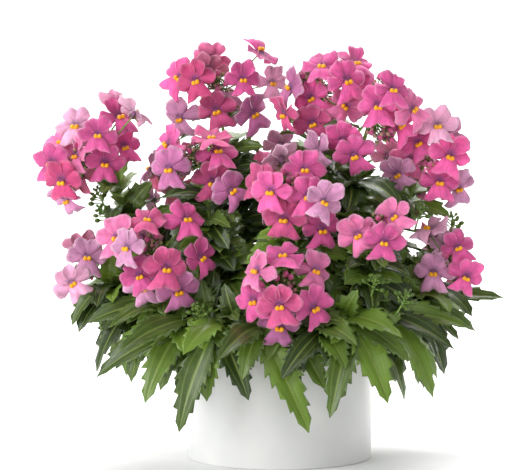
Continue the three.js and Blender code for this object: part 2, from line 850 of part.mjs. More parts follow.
// One head: a small core, its blooms and buds, and a short stalk down to the stem
function headSolid(blooms, buds, course, middle) {
  const core = new THREE.OctahedronGeometry(CORE_RADIUS, 0).translate(middle.x, middle.y, middle.z);
  const stalkMiddle = course.end.clone().addScaledVector(course.lean, CORE_RADIUS);
  const stalk = tube([middle, stalkMiddle, course.end], STEM_RADIUS, 2);
  const side = new THREE.Vector3(0.3, 0.5, 0.8);
  return mainBody(
    fuse([
      solidOf(core),
      stalk,
      ...blooms.map(bloomSolid),
      ...buds.map((b) => budSolid(b.core, b.tip, side)),
    ]),
  );
}

const plant = new THREE.Group();
const roots = [];
const stems = [];

// Heads first, so the leaves can keep clear of them
const allHeads = [
  ...HEADS,
  ...FAR_HEADS.map((h, i) => ({ ...h, name: `flower_head_far_side_${i + 1}`, far: true })),
];
const headParts = allHeads.map((head, h) => {
  const seed = h + 1;
  const seen = (head.blooms ?? []).map((row, i) => bloomOf(head, row, i, seed));
  const hidden = head.far ? farHeadBlooms(head, seed) : bloomsBehind(head, head.behind, seed);
  const kept = [...seen, ...hidden].filter((b, i) => settleBloom(b, head.name, i < seen.length));
  const buds = budsOf(head, seed);
  take(buds.map((b) => b.tip), head.name);
  return { head, blooms: kept, buds, course: stemCourse(head.root, head.knee, head.middle) };
});

// The flowering stems
allHeads.forEach((head, h) => {
  const { course } = headParts[h];
  const name = head.name.replace("flower_head", "leafy_stem");
  const path = new THREE.CatmullRomCurve3(course.points, false, "centripetal");
  take(path.getSpacedPoints(STEM_SAMPLES).slice(SAMPLES_IN_HOLE), name);
  roots.push({ x: head.root[0], y: head.root[1], radius: STEM_RADIUS });
  stems.push({ name, path, points: course.points, seed: 20 + h, far: head.far });
});

// A leaf that hangs from a shoot, swung out from the pot until it is clear of other nodes
function hungLeaf(owner, base, tip, width) {
  const outward = new THREE.Vector3(tip.x, tip.y, 0).normalize();
  let leaf = null;
  for (const push of PUSHES) {
    leaf = makeLeaf(base, tip.clone().addScaledVector(outward, push), width, HUNG_ARCH, SHOOT_TEETH);
    if (isClear(leafSamples(leaf), (t) => t.owner !== owner, LEAF_CLEAR)) break;
  }
  return leaf;
}

// The same kind of shoot at the far side
function farShoots() {
  return Array.from({ length: FAR_SHOOTS }, (_, i) => {
    const deg = FAR_SHOOT_FROM + ((FAR_SHOOT_TO - FAR_SHOOT_FROM) * i) / (FAR_SHOOTS - 1);
    const lift = SIDE_LIFT * Math.abs(Math.cos((deg * Math.PI) / 180));
    const ray = (r, turn, z) => {
      const a = ((deg + turn) * Math.PI) / 180;
      return [r * Math.cos(a), r * Math.sin(a), z];
    };
    return {
      root: ray(FAR_SHOOT_ROOT, 0, 0).slice(0, 2),
      over: ray(FAR_SHOOT_OVER[0], 0, FAR_SHOOT_OVER[1]),
      end: ray(FAR_SHOOT_END[0], 0, FAR_SHOOT_END[1]),
      leaves: [[ray(100, -15, 46 + lift), 18], [ray(114, 13, 64 + lift), 18], [ray(104, 1, 40 + lift), 16]],
    };
  });
}

// The shoots of the skirt, with their leaves hung over the rim
const shootParts = [...SHOOTS, ...farShoots()].map((shoot, i) => {
  const name = `leafy_shoot_${i + 1}`;
  const points = [...uprightPart(shoot.root), vec(shoot.over), vec(shoot.end)];
  const path = new THREE.CatmullRomCurve3(points, false, "centripetal");
  take(path.getSpacedPoints(SHOOT_SAMPLES).slice(SAMPLES_IN_HOLE), name);
  roots.push({ x: shoot.root[0], y: shoot.root[1], radius: SHOOT_RADIUS });
  const leaves = shoot.leaves.map(([tip, width], k) => {
    const leaf = hungLeaf(name, path.getPointAt(HEEL_FIRST - HEEL_STEP * k), vec(tip), width);
    take(leafSamples(leaf), name);
    return leaf;
  });
  return { name, points, leaves };
});

// Leaves up the flowering stems, after everything that they keep clear of
for (const stem of stems) {
  const leaves = pairedLeaves(stem.name, stem.path, stem.far ? FAR_LEAVES : FRONT_LEAVES, stem.seed);
  const solid = fuse([tube(stem.points, STEM_RADIUS, STEM_RINGS), ...leaves.map(leafSolid)]);
  plant.add(mesh(stem.name, mainBody(solid), LEAF_GREEN, 0.5));
}

for (const shoot of shootParts) {
  const solid = fuse([tube(shoot.points, SHOOT_RADIUS, SHOOT_RINGS), ...shoot.leaves.map(leafSolid)]);
  plant.add(mesh(shoot.name, mainBody(solid), LEAF_GREEN, 0.5));
}

for (const { head, blooms, buds, course } of headParts) {
  plant.add(mesh(head.name, headSolid(blooms, buds, course, vec(head.middle)), PETAL_PINK, 0.6));
}

plant.add(mesh("pot", pot(), POT_WHITE, 0.35));
plant.add(mesh("soil", soil(roots), SOIL_BROWN, 0.95));

export default plant;
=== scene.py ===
"""The looks of a potted nemesia: pink two-lipped blooms in rounded heads over toothed leaves, in a plain
white pot. Sizes are in millimetres in the plan and in metres in the meshes. The best side faces -Y.
"""

import math

import bpy
import numpy as np
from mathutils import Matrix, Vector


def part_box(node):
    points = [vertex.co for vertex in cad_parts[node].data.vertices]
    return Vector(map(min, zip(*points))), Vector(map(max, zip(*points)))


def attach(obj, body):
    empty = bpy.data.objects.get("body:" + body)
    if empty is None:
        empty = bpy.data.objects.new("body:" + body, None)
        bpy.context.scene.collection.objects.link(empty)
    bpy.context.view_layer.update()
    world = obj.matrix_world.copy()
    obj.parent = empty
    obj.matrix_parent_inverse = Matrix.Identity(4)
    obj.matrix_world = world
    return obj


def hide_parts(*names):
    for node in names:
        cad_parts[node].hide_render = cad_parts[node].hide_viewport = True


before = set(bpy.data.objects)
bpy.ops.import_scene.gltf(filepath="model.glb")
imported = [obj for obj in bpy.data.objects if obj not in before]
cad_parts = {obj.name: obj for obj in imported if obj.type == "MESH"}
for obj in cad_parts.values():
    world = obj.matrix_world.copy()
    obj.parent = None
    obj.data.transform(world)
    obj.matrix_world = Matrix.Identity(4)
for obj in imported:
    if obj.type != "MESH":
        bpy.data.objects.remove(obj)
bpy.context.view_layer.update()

bl_info = {
    "name": "Potted nemesia",
    "version": (1, 0, 0),
    "blender": (4, 5, 0),
    "location": "View3D > Sidebar > Nemesia",
    "description": "Dresses the potted plant with blooms, leaves, soil and a glazed pot",
    "category": "Object",
}

MM = 0.001
BODY = "root"

POT_LOW, POT_HIGH = (np.array(v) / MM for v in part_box("pot"))
POT_RADIUS = float(POT_HIGH[1] - POT_LOW[1]) / 2
POT_HEIGHT = float(POT_HIGH[2])
SOIL_LOW, SOIL_HIGH = (np.array(v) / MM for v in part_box("soil"))
SOIL_RADIUS = float(SOIL_HIGH[1] - SOIL_LOW[1]) / 2

# Stems
STEM_RADIUS = 1.5
SHOOT_RADIUS = 1.3
SOIL_TOP = 75
ROOT_DEPTH = 12
STRAIGHT_TO = 87
HEAD_JOIN = 0.4
SEAT = 0.3

# Blooms and heads
BLOOM_WIDTH = 27
HEAD_REACH = 30
HEAD_BULGE = 17
HEAD_DROP = 15
HIDDEN_RING = 17
HIDDEN_LIFT = 19
TUBE_LENGTH = 4.5
EDGE_AT = 10.5
EDGE_LIFT = 0.8
EDGE_SAMPLES = 10
BUDS_IN_TUFT = 2
BUD_SPREAD = 3.4
BUD_DEPTH = 0.85
BUD_FORWARD = 3
BUD_TURN = 6
OUTWARD_DEPTH = 0.6
TURN_OUT = 0.75
SIDE_TURN_OUT = 1.2
ROLL_SPAN = 0.3
BULGE_VARIES = 5
FACING_VARIES = 0.3
WIDTH_LEAST = 0.9
WIDTH_VARIES = 0.16
HIDDEN_WIDTH_LEAST = 0.88
HIDDEN_WIDTH_VARIES = 0.14
HIDDEN_ROLL = 0.4
HEAD_STRAIGHT = 8

# The ring of blooms behind a head: where it starts, its depth and rise, and the way its blooms face
BEHIND_START = 0.6
BEHIND_DEPTH = 0.75
BEHIND_RISE = 0.75
BEHIND_FACING = (0.7, 0.8, 0.25, 0.4)

# Leaves
LEAF_FOLD = 0.22
NEAR_SIDE = 5
FACE_TURN = 1.1
OUTWARD_LEAN = 0.5
HANGING_LEAN = 0.6
LEAF_ARCH = 0.16
LEAF_CLIMB = 0.5
LEAF_TURN_VARIES = 0.8
LENGTH_LEAST = 0.85
LENGTH_VARIES = 0.3
HUNG_ARCH = 6
HEEL_FIRST = 0.94
HEEL_STEP = 0.045
FRONT_LEAVES = {"from": 0.27, "to": 0.8, "pairs": 3, "length": 43, "width": 17, "droop": 0.45}
FAR_LEAVES = {"from": 0.35, "to": 0.75, "pairs": 2, "length": 43, "width": 17, "droop": 0.45}

# Least distances between the points that stand for leaves, petals, stems and the pot
LEAF_CLEAR = 6
BLOOM_CLEAR = 5
PETAL_CLEAR = 5
OWN_LEAF_CLEAR = 4.5
POT_CLEAR = 3
LEAF_SAMPLES_AT = (0.3, 0.48, 0.66, 0.84)
LEAF_SAMPLES_OUT = 0.8
STEM_SAMPLES = 24
SHOOT_SAMPLES = 12
SAMPLES_IN_HOLE = 3

DEPTH_STEPS = [0, -3, 3, -6, 6, -9, 9, -12, 12]
TURNS = [0, 0.35, -0.35, 0.7, -0.7]
LENGTHS = [1, 0.75]
PUSHES = [0, 4, 8, 12, 16]

FACING = {
    "front": (0, -1, 0.12),
    "away": (0, 0.75, 0.35),
    "up": (0, -0.45, 1.1),
    "over": (0, -0.8, 0.5),
    "side": (0, -0.3, 0.2),
    "raised": (0, -0.8, 0.75),
    "left": (-0.75, -0.8, 0.15),
}

# The heads seen from the front: the middle, and the stem's root and knee. For each bloom: where its
# throat is, across and up from the middle, the way it faces, the degrees that its lip hangs to the
# right, and its tone. Tufts are of buds, and so many more blooms stand behind.
HEADS = [
    {
        "name": "far_left", "middle": (-124, 0, 195), "root": (-38, 2), "knee": (-84, 4, 140),
        "blooms": [
            (20, 27, "front", 20, "hot"), (7, 15, "front", 0, "hot"), (11, -3, "front", -10, "hot"),
            (23, 7, "front", 20, "hot"), (-23, -3, "front", -20, "hot"), (-17, 10, "raised", 0, "rose"),
            (-8, 21, "front", 0, "pale"), (-7, 2, "left", 0, "rose"), (-16, -14, "front", 0, "crimson"),
            (-15, -27, "front", 25, "lilac"), (17, 37, "away", 0, "pale"), (30, 30, "away", 0, "pale"),
        ],
        "tufts": [(-5, 9), (-10, -4)], "behind": 2,
    },
    {
        "name": "top_left", "middle": (-41, 10, 240), "root": (-18, 14), "knee": (-30, 15, 170),
        "blooms": [
            (-3, 20, "away", 0, "hot"), (29, 24, "over", 0, "hot"), (-24, 7, "front", -35, "hot"),
            (-13, 5, "front", 10, "crimson"), (17, 6, "front", 0, "hot"), (36, 4, "front", 0, "pale"),
            (0, -14, "front", 15, "deep"), (-24, -19, "front", 15, "lilac"),
            (24, -16, "front", 30, "mauve"),
        ],
        "tufts": [(-1, 9), (4, 2)], "behind": 2,
    },
    {
        "name": "mid_left", "middle": (-51, -30, 193), "root": (-24, -12), "knee": (-42, -22, 140),
        "blooms": [
            (-20, 12, "left", -40, "hot"), (-19, -3, "front", 0, "mauve"), (7, 15, "up", 0, "deep"),
            (11, 7, "raised", 0, "hot"), (8, -12, "front", -10, "deep"), (20, -17, "front", 35, "mauve"),
        ],
        "tufts": [(-6, 12), (-11, -1)], "behind": 1,
    },
    {
        "name": "middle", "middle": (12, -50, 168), "root": (6, -22), "knee": (10, -34, 125),
        "blooms": [
            (-26, 13, "front", -10, "deep"), (-18, 8, "front", 0, "hot"), (5, 5, "front", 0, "hot"),
            (-10, -9, "front", 0, "deep"), (14, -16, "front", 10, "hot"), (15, 2, "front", -20, "lilac"),
            (-12, 28, "away", 0, "pale"), (3, 21, "front", 0, "hot"),
        ],
        "tufts": [(-13, 19), (-5, 18)], "behind": 1,
    },
    {
        "name": "mid_right", "middle": (62, -50, 152), "root": (32, -20), "knee": (50, -40, 112),
        "blooms": [
            (-14, -3, "front", 20, "rose"), (2, -7, "front", 0, "hot"), (9, 8, "left", 40, "rose"),
        ],
        "tufts": [(-4, 6)], "behind": 0,
    },
    {
        "name": "top", "middle": (28, 2, 236), "root": (10, 6), "knee": (18, 6, 170),
        "blooms": [
            (-1, 18, "raised", 0, "hot"), (21, 20, "raised", 0, "hot"), (-21, 5, "side", -25, "mauve"),
            (-8, -2, "front", 30, "hot"), (15, 9, "front", 10, "hot"), (30, 1, "front", 20, "hot"),
            (14, -7, "front", -40, "rose"), (-25, -12, "side", 0, "deep"),
            (-7, -18, "front", 25, "deep"),
        ],
        "tufts": [(4, 8), (-15, 10)], "behind": 2,
    },
    {
        "name": "top_right", "middle": (58, -22, 221), "root": (24, -6), "knee": (42, -10, 165),
        "blooms": [
            (-18, -14, "front", 10, "hot"), (-11, -23, "front", 25, "hot"),
            (-34, -21, "left", 35, "lilac"), (4, 8, "front", 0, "hot"), (13, 18, "front", 0, "hot"),
            (26, 6, "front", 30, "rose"), (18, -4, "front", 35, "hot"),
        ],
        "tufts": [(3, -12), (14, -12), (7, 26)], "behind": 0,
    },
    {
        "name": "right", "middle": (98, 0, 201), "root": (38, 8), "knee": (72, 6, 140),
        "blooms": [
            (-9, 4, "front", 25, "hot"), (11, -4, "front", -10, "hot"), (3, 15, "front", 0, "pale"),
            (-22, -16, "front", 20, "lilac"), (-13, -7, "front", 0, "rose"),
            (5, -21, "raised", 0, "hot"), (18, -25, "front", 10, "lilac"),
        ],
        "tufts": [(-2, -12), (5, -33)], "behind": 2,
    },
    {
        "name": "low_right", "middle": (112, -20, 127), "root": (46, -10), "knee": (84, -16, 102),
        "blooms": [
            (1, 12, "front", 20, "hot"), (6, -6, "front", -15, "hot"), (-14, -4, "front", 0, "lilac"),
            (-16, 23, "side", 0, "pale"),
        ],
        "tufts": [(-4, 6)], "behind": 1,
    },
    {
        "name": "front", "middle": (1, -80, 112), "root": (2, -44), "knee": (2, -60, 96),
        "blooms": [
            (0, 25, "raised", 0, "hot"), (20, 16, "front", -10, "rose"), (-16, 17, "left", 0, "rose"),
            (-18, -2, "front", 20, "hot"), (-2, -4, "front", 0, "deep"), (19, -6, "front", 25, "hot"),
            (-2, -18, "front", 0, "mauve"),
        ],
        "tufts": [(-1, 15), (5, 11)], "behind": 0,
    },
    {
        "name": "low_left", "middle": (-82, -55, 134), "root": (-36, -26), "knee": (-57, -42, 106),
        "blooms": [
            (-1, 24, "raised", 0, "deep"), (23, 24, "front", 0, "hot"), (-20, 13, "front", -10, "rose"),
            (-13, 8, "left", 0, "lilac"), (-6, -10, "front", 30, "hot"), (11, -5, "front", 0, "deep"),
            (32, 0, "front", 35, "hot"), (18, -20, "front", 10, "mauve"),
            (-4, -18, "front", 10, "lilac"),
        ],
        "tufts": [(2, 15), (-4, 4)], "behind": 1,
    },
    {
        "name": "outer_left", "middle": (-128, -20, 125), "root": (-48, 2), "knee": (-92, -8, 104),
        "blooms": [(5, 8, "front", 0, "lilac"), (-4, -8, "front", 35, "pale")],
        "tufts": [(4, -1)], "behind": 1,
    },
]

# The heads on the far side, which grow by the same habit
FAR_HEADS = [
    {"middle": (-68, 55, 176), "root": (-26, 30), "knee": (-46, 42, 130)},
    {"middle": (4, 72, 182), "root": (2, 38), "knee": (4, 54, 130)},
    {"middle": (76, 60, 178), "root": (28, 30), "knee": (52, 46, 130)},
    {"middle": (-92, 66, 118), "root": (-40, 22), "knee": (-68, 44, 100)},
    {"middle": (104, 56, 122), "root": (44, 24), "knee": (78, 46, 104)},
    {"middle": (18, 90, 130), "root": (12, 45), "knee": (16, 62, 110)},
]
FAR_BLOOMS = 5
FAR_TUFTS = [(0, 14)]
FAR_TILT = 0.35
FAR_RING_BACK = 6
FAR_SPREAD = 0.5
FAR_TONES = ["hot", "rose", "deep", "mauve", "lilac"]

# Short shoots that reach over the rim at the front, with each hanging leaf's tip and width
SHOOTS = [
    {
        "root": (-30, -40), "over": (-50, -50, 97), "end": (-66, -58, 87),
        "leaves": [((-115, -66, 60), 18), ((-84, -86, 46), 18), ((-102, -46, 80), 15), ((-96, -90, 79), 17)],
    },
    {
        "root": (-16, -46), "over": (-34, -62, 95), "end": (-44, -74, 86),
        "leaves": [((-63, -86, 28), 18), ((-46, -78, 46), 14), ((-20, -88, 48), 17), ((-60, -102, 78), 17)],
    },
    {
        "root": (-6, -50), "over": (-12, -66, 95), "end": (-14, -78, 86),
        "leaves": [((-20, -82, 62), 14), ((17, -97, 29), 19), ((-34, -104, 76), 16)],
    },
    {
        "root": (14, -48), "over": (22, -65, 95), "end": (27, -74, 84),
        "leaves": [((40, -90, 68), 15), ((0, -80, 62), 15), ((46, -104, 84), 16)],
    },
    {
        "root": (26, -42), "over": (38, -58, 97), "end": (46, -68, 93),
        "leaves": [((25, -80, 38), 17), ((66, -86, 46), 20), ((80, -70, 70), 16), ((74, -96, 88), 17)],
    },
    {
        "root": (38, -32), "over": (58, -46, 99), "end": (70, -50, 97),
        "leaves": [((96, -58, 46), 17), ((100, -40, 56), 15), ((119, -48, 89), 16), ((108, -70, 78), 16)],
    },
    {
        "root": (-44, -14), "over": (-64, -26, 101), "end": (-76, -32, 103),
        "leaves": [((-122, -46, 92), 17), ((-116, -18, 84), 16), ((-106, -70, 92), 16)],
    },
    {
        "root": (50, 6), "over": (74, 0, 99), "end": (84, -2, 100),
        "leaves": [((128, 2, 82), 17), ((116, -12, 78), 16), ((128, -20, 106), 16)],
    },
]
FAR_SHOOTS = 5
FAR_SHOOT_FROM = 20
FAR_SHOOT_TO = 160
FAR_SHOOT_ROOT = 50
FAR_SHOOT_OVER = (66, 97)
FAR_SHOOT_END = (76, 94)
# Each leaf of a shoot on the far side: its tip's radius, turn in degrees and height, and its width
FAR_SHOOT_LEAVES = [(100, -15, 46, 18), (114, 13, 64, 18), (104, 1, 40, 16)]
SIDE_LIFT = 26


# Plain geometry

def chance(a, b):
    """A fixed number from 0 to 1 for each pair of counters, so the plant grows the same each time.

    The first says which leaf, bloom or bud it is for, and the second what is chosen.
    """
    x = math.sin(a * 12.9898 + b * 78.233) * 43758.5453
    return x - math.floor(x)


# A chance times this is an angle anywhere on the round
ALL_ROUND = 6.3


def swing(a, b):
    """A chance from -0.5 to 0.5."""
    return chance(a, b) - 0.5


def between(start_and_span, share):
    """The value that lies so far along a span from its start."""
    start, span = start_and_span
    return start + span * share


def vec(*values):
    return np.array(values if len(values) > 1 else values[0], dtype=float)


def unit(v):
    return v / np.linalg.norm(v)


def turned(v, axis, angle):
    """A vector turned about an axis."""
    c, s = math.cos(angle), math.sin(angle)
    return v * c + np.cross(axis, v) * s + axis * (np.dot(axis, v) * (1 - c))


def along(a, b, bend, t):
    """A point along from a to b, pushed off the straight line by bend at the middle."""
    return a + (b - a) * t + bend * (4 * t * (1 - t))


class Course:
    """A smooth course through points, centripetal, with places given by share of its length."""

    PARTS = 200

    def __init__(self, points):
        self.points = [vec(p) for p in points]
        grid = [self.at(i / self.PARTS) for i in range(self.PARTS + 1)]
        steps = [0.0] + [float(np.linalg.norm(b - a)) for a, b in zip(grid, grid[1:])]
        self.lengths = np.cumsum(steps)

    def at(self, t):
        pts = self.points
        last = len(pts) - 1
        place = last * t
        i = min(int(math.floor(place)), last - 1)
        w = place - i
        p1, p2 = pts[i], pts[i + 1]
        p0 = pts[i - 1] if i > 0 else 2 * pts[0] - pts[1]
        p3 = pts[i + 2] if i + 2 <= last else 2 * pts[last] - pts[last - 1]
        d0, d1, d2 = (math.sqrt(float(np.linalg.norm(b - a))) for a, b in ((p0, p1), (p1, p2), (p2, p3)))
        m1 = ((p1 - p0) / d0 - (p2 - p0) / (d0 + d1) + (p2 - p1) / d1) * d1
        m2 = ((p2 - p1) / d1 - (p3 - p1) / (d1 + d2) + (p3 - p2) / d2) * d1
        c2 = -3 * p1 + 3 * p2 - 2 * m1 - m2
        c3 = 2 * p1 - 2 * p2 + m1 + m2
        return p1 + m1 * w + c2 * w * w + c3 * w * w * w

    def share(self, u):
        target = u * self.lengths[-1]
        i = int(np.searchsorted(self.lengths, target, side="right")) - 1
        i = max(0, min(i, self.PARTS - 1))
        step = self.lengths[i + 1] - self.lengths[i]
        return (i + (target - self.lengths[i]) / step) / self.PARTS

    def point(self, u):
        return self.at(self.share(u))

    def tangent(self, u):
        t = self.share(u)
        return unit(self.at(min(1.0, t + 1e-4)) - self.at(max(0.0, t - 1e-4)))

    def spaced(self, count):
        return [self.point(i / count) for i in range(count + 1)]


class Taken:
    """The points already taken in space, each with the name of what holds it."""

    def __init__(self):
        self.points = np.empty((0, 3))
        self.owners = np.empty(0, dtype=object)
        self.leaf = np.empty(0, dtype=bool)

    def take(self, points, owner, leaf=False):
        self.points = np.vstack([self.points, points])
        self.owners = np.append(self.owners, [owner] * len(points))
        self.leaf = np.append(self.leaf, [leaf] * len(points))

    def clear(self, points, gap, others=None, own=None, leaf_only=False):
        mask = self.owners != others if others is not None else self.owners == own
        if leaf_only:
            mask = mask & self.leaf
        near = self.points[mask]
        if not len(near):
            return True
        q = np.asarray(points)
        low, high = q.min(axis=0) - gap, q.max(axis=0) + gap
        near = near[np.all((near > low) & (near < high), axis=1)]
        if not len(near):
            return True
        gaps = ((q[:, None, :] - near[None, :, :]) ** 2).sum(axis=2)
        return not bool((gaps < gap * gap).any())


def meets_pot(p, gap):
    return p[2] < POT_HEIGHT + gap and math.hypot(p[0], p[1]) < POT_RADIUS + gap


# The plan of the plant, which is the plan of its solids

def bloom_axes(facing, roll):
    out = unit(facing)
    up = unit(vec(0, 0, 1) - out * out[2])
    right = unit(np.cross(up, out))
    return out, turned(right, out, roll), turned(up, out, roll)


def bloom_samples(b):
    out, right, up = bloom_axes(b["facing"], b["roll"])
    r = EDGE_AT * (b["width"] / BLOOM_WIDTH)
    found = [b["throat"].copy()]
    for i in range(EDGE_SAMPLES):
        a = 2 * math.pi * i / EDGE_SAMPLES
        found.append(b["throat"] + right * (r * math.sin(a)) + up * (r * math.cos(a)) + out * EDGE_LIFT)
    return found


def settle_bloom(taken, b, owner, must):
    """Moves a bloom nearer or further until it is clear of other heads and of its neighbours."""
    start = b["throat"][1]
    best = None
    for step in DEPTH_STEPS:
        b["throat"][1] = start + step
        points = bloom_samples(b)
        if not taken.clear(points, BLOOM_CLEAR, others=owner):
            continue
        if best is None:
            best = step
        if taken.clear(points, PETAL_CLEAR, own=owner):
            best = step
            break
    if best is None and not must:
        return False
    b["throat"][1] = start + (best or 0)
    taken.take(bloom_samples(b), owner)
    return True


def bloom_of(head, row, index, seed):
    across, rise, way, lip, tone = row
    q = min(1, math.hypot(across, rise) / HEAD_REACH)
    middle = vec(head["middle"])
    depth = HEAD_BULGE * math.sqrt(1 - q * q) + BULGE_VARIES * swing(seed, index)
    sign = 1 if way == "away" else -1
    outward = vec(across, sign * depth * OUTWARD_DEPTH, rise) / HEAD_REACH
    facing = vec(FACING[way]) + outward * (SIDE_TURN_OUT if way == "side" else TURN_OUT)
    facing[0] += FACING_VARIES * swing(seed, index + 40)
    facing[2] += FACING_VARIES * swing(seed, index + 80)
    roll = math.radians(lip + (180 if way == "over" else 0))
    return {
        "throat": middle + vec(across, sign * depth, rise),
        "facing": facing,
        "roll": roll + ROLL_SPAN * swing(seed, index + 120),
        "width": BLOOM_WIDTH * (WIDTH_LEAST + WIDTH_VARIES * chance(seed, index + 160)),
        "core": middle,
        "tone": tone,
    }


def hidden_bloom(head, throat, facing, seed, counter, tone):
    """A bloom that the front doesn't show, with its roll and width drawn from counters."""
    width = HIDDEN_WIDTH_LEAST + HIDDEN_WIDTH_VARIES * chance(seed, counter + 10)
    return {
        "throat": throat,
        "facing": facing,
        "roll": HIDDEN_ROLL * swing(seed, counter),
        "width": BLOOM_WIDTH * width,
        "core": vec(head["middle"]),
        "tone": FAR_TONES[tone % len(FAR_TONES)],
    }


def blooms_behind(head, count, seed):
    """Blooms on the side of a head that is turned from the front."""
    side, back, tilt, up = BEHIND_FACING
    found = []
    for i in range(count):
        a = 2 * math.pi * ((i + 0.5 * chance(seed, 200)) / count) + BEHIND_START
        outward = vec(math.cos(a), BEHIND_DEPTH, BEHIND_RISE * math.sin(a))
        throat = vec(head["middle"]) + outward * HIDDEN_RING
        facing = vec(side * math.cos(a), back, tilt + up * math.sin(a))
        found.append(hidden_bloom(head, throat, facing, seed, 210 + i, seed + i))
    return found


def far_head_blooms(head, seed):
    """A whole head on the far side: one bloom in the middle of a ring, leaning out from the plant."""
    middle = vec(head["middle"])
    out = unit(vec(middle[0], middle[1], 0))
    out[2] = FAR_TILT
    out = unit(out)
    across = unit(vec(-out[1], out[0], 0))
    rise = np.cross(out, across)
    if rise[2] < 0:
        rise = -rise
    found = []
    for i in range(FAR_BLOOMS):
        a = 2 * math.pi * i / (FAR_BLOOMS - 1) + seed
        r = 0 if i == FAR_BLOOMS - 1 else 1
        ring = across * (r * math.cos(a)) + rise * (r * math.sin(a))
        throat = middle + out * (HIDDEN_LIFT - FAR_RING_BACK * r) + ring * HIDDEN_RING
        facing = out + ring * FAR_SPREAD
        found.append(hidden_bloom(head, throat, facing, seed, 310 + i, seed + 2 * i))
    return found


def bud_tips(head, seed):
    found = []
    middle = vec(head["middle"])
    forward = -1 if "tufts" in head else 1
    for t, (across, rise) in enumerate(head.get("tufts", FAR_TUFTS)):
        for i in range(BUDS_IN_TUFT):
            a = 2 * math.pi * i / BUDS_IN_TUFT + BUD_TURN * chance(seed, 400 + t)
            q = min(1, math.hypot(across, rise) / HEAD_REACH)
            depth = forward * (HEAD_BULGE * BUD_DEPTH * math.sqrt(1 - q * q) + BUD_FORWARD)
            around = vec(BUD_SPREAD * math.cos(a), 0, BUD_SPREAD * math.sin(a))
            found.append(middle + vec(across, depth, rise) + around)
    return found


def upright_part(root):
    foot = SOIL_TOP - ROOT_DEPTH + SEAT
    return [vec(root[0], root[1], z) for z in (foot, (foot + STRAIGHT_TO) / 2, STRAIGHT_TO)]


def stem_course(head):
    top, knee = vec(head["middle"]), vec(head["knee"])
    lean = unit(top - knee)
    end = top - lean * HEAD_DROP
    points = [*upright_part(head["root"]), knee, end - lean * HEAD_STRAIGHT, end - lean * HEAD_JOIN]
    return {"lean": lean, "end": end, "course": Course(points)}


def leaf_half(t):
    """The half width of a leaf of width 1 at t along it."""
    s = math.sin(math.pi * min(1.0, t) ** 0.8)
    return 0.5 * max(0.0, s) ** 0.9 + 0.03 * (1 - t)


def leaf_axes(leaf, t):
    a = along(leaf["base"], leaf["tip"], leaf["bend"], max(0.0, t - 0.02))
    b = along(leaf["base"], leaf["tip"], leaf["bend"], min(1.0, t + 0.02))
    side = unit(np.cross(leaf["tip"] - leaf["base"], leaf["face"]))
    return side, unit(np.cross(side, unit(b - a)))


def leaf_samples(leaf):
    found = [leaf["tip"].copy()]
    for t in LEAF_SAMPLES_AT:
        w = LEAF_SAMPLES_OUT * leaf_half(t) * leaf["width"]
        side, face = leaf_axes(leaf, t)
        spine = along(leaf["base"], leaf["tip"], leaf["bend"], t)
        for across in (-w, 0, w):
            found.append(spine + side * across + face * (LEAF_FOLD * abs(across)))
    return found


def make_leaf(base, tip, width, rise):
    run = tip - base
    face = vec(0, 0, 1)
    outward = vec(run[0], run[1], 0)
    # A leaf that hangs shows its upper face outward
    face = face + OUTWARD_LEAN * (unit(outward) if outward @ outward > 1 else vec(0, -1, 0))
    if tip[2] < base[2]:
        face = face + HANGING_LEAN * unit(vec(base[0], base[1], 0))
    # The leaves of the near side turn their faces a little to the front
    if tip[1] < NEAR_SIDE:
        face[1] -= FACE_TURN
    face = unit(face)
    lift = unit(face - run * (face @ run / (run @ run)))
    return {"base": base, "tip": tip, "width": width, "face": face, "bend": lift * rise}


def clear_leaf(taken, owner, node, run, first, turn_to, length, plan, gaps):
    """The first try at a leaf that is clear of other nodes and of its own neighbours, or nothing."""
    others_gap, own_gap, pot_gap = gaps
    for share in LENGTHS:
        for turn in TURNS:
            away = turned(first, run, turn_to + turn)
            reach = length * share
            tip = node + unit(away + run * LEAF_CLIMB) * reach
            tip[2] -= plan["droop"] * reach
            leaf = make_leaf(node.copy(), tip, plan["width"] * share, LEAF_ARCH * reach)
            points = leaf_samples(leaf)
            if any(meets_pot(p, pot_gap) for p in points):
                continue
            if not taken.clear(points, others_gap, others=owner):
                continue
            if taken.clear(points, own_gap, own=owner, leaf_only=True):
                return leaf
    return None


def paired_leaves(taken, owner, course, plan, seed, gaps=(LEAF_CLEAR, OWN_LEAF_CLEAR, POT_CLEAR)):
    """Opposite pairs of leaves up a stem, each turned until it is clear of what others hold."""
    found = []
    for k in range(plan["pairs"]):
        t = plan["from"] + (plan["to"] - plan["from"]) * k / max(1, plan["pairs"] - 1)
        node, run = course.point(t), course.tangent(t)
        sideways = unit(vec(-node[1], node[0], 0))
        first = unit(sideways - run * (sideways @ run))
        for half in (0, math.pi):
            turn_to = (k % 2) * (math.pi / 2) + half + LEAF_TURN_VARIES * swing(seed, k + half)
            length = plan["length"] * (LENGTH_LEAST + LENGTH_VARIES * chance(seed + 7, k + half))
            leaf = clear_leaf(taken, owner, node, run, first, turn_to, length, plan, gaps)
            if leaf is None:
                continue
            taken.take(leaf_samples(leaf), owner, True)
            found.append(leaf)
    return found


def hung_leaf(taken, owner, base, tip, width):
    outward = unit(vec(tip[0], tip[1], 0))
    leaf = None
    for push in PUSHES:
        leaf = make_leaf(base, tip + outward * push, width, HUNG_ARCH)
        if taken.clear(leaf_samples(leaf), LEAF_CLEAR, others=owner):
            break
    return leaf


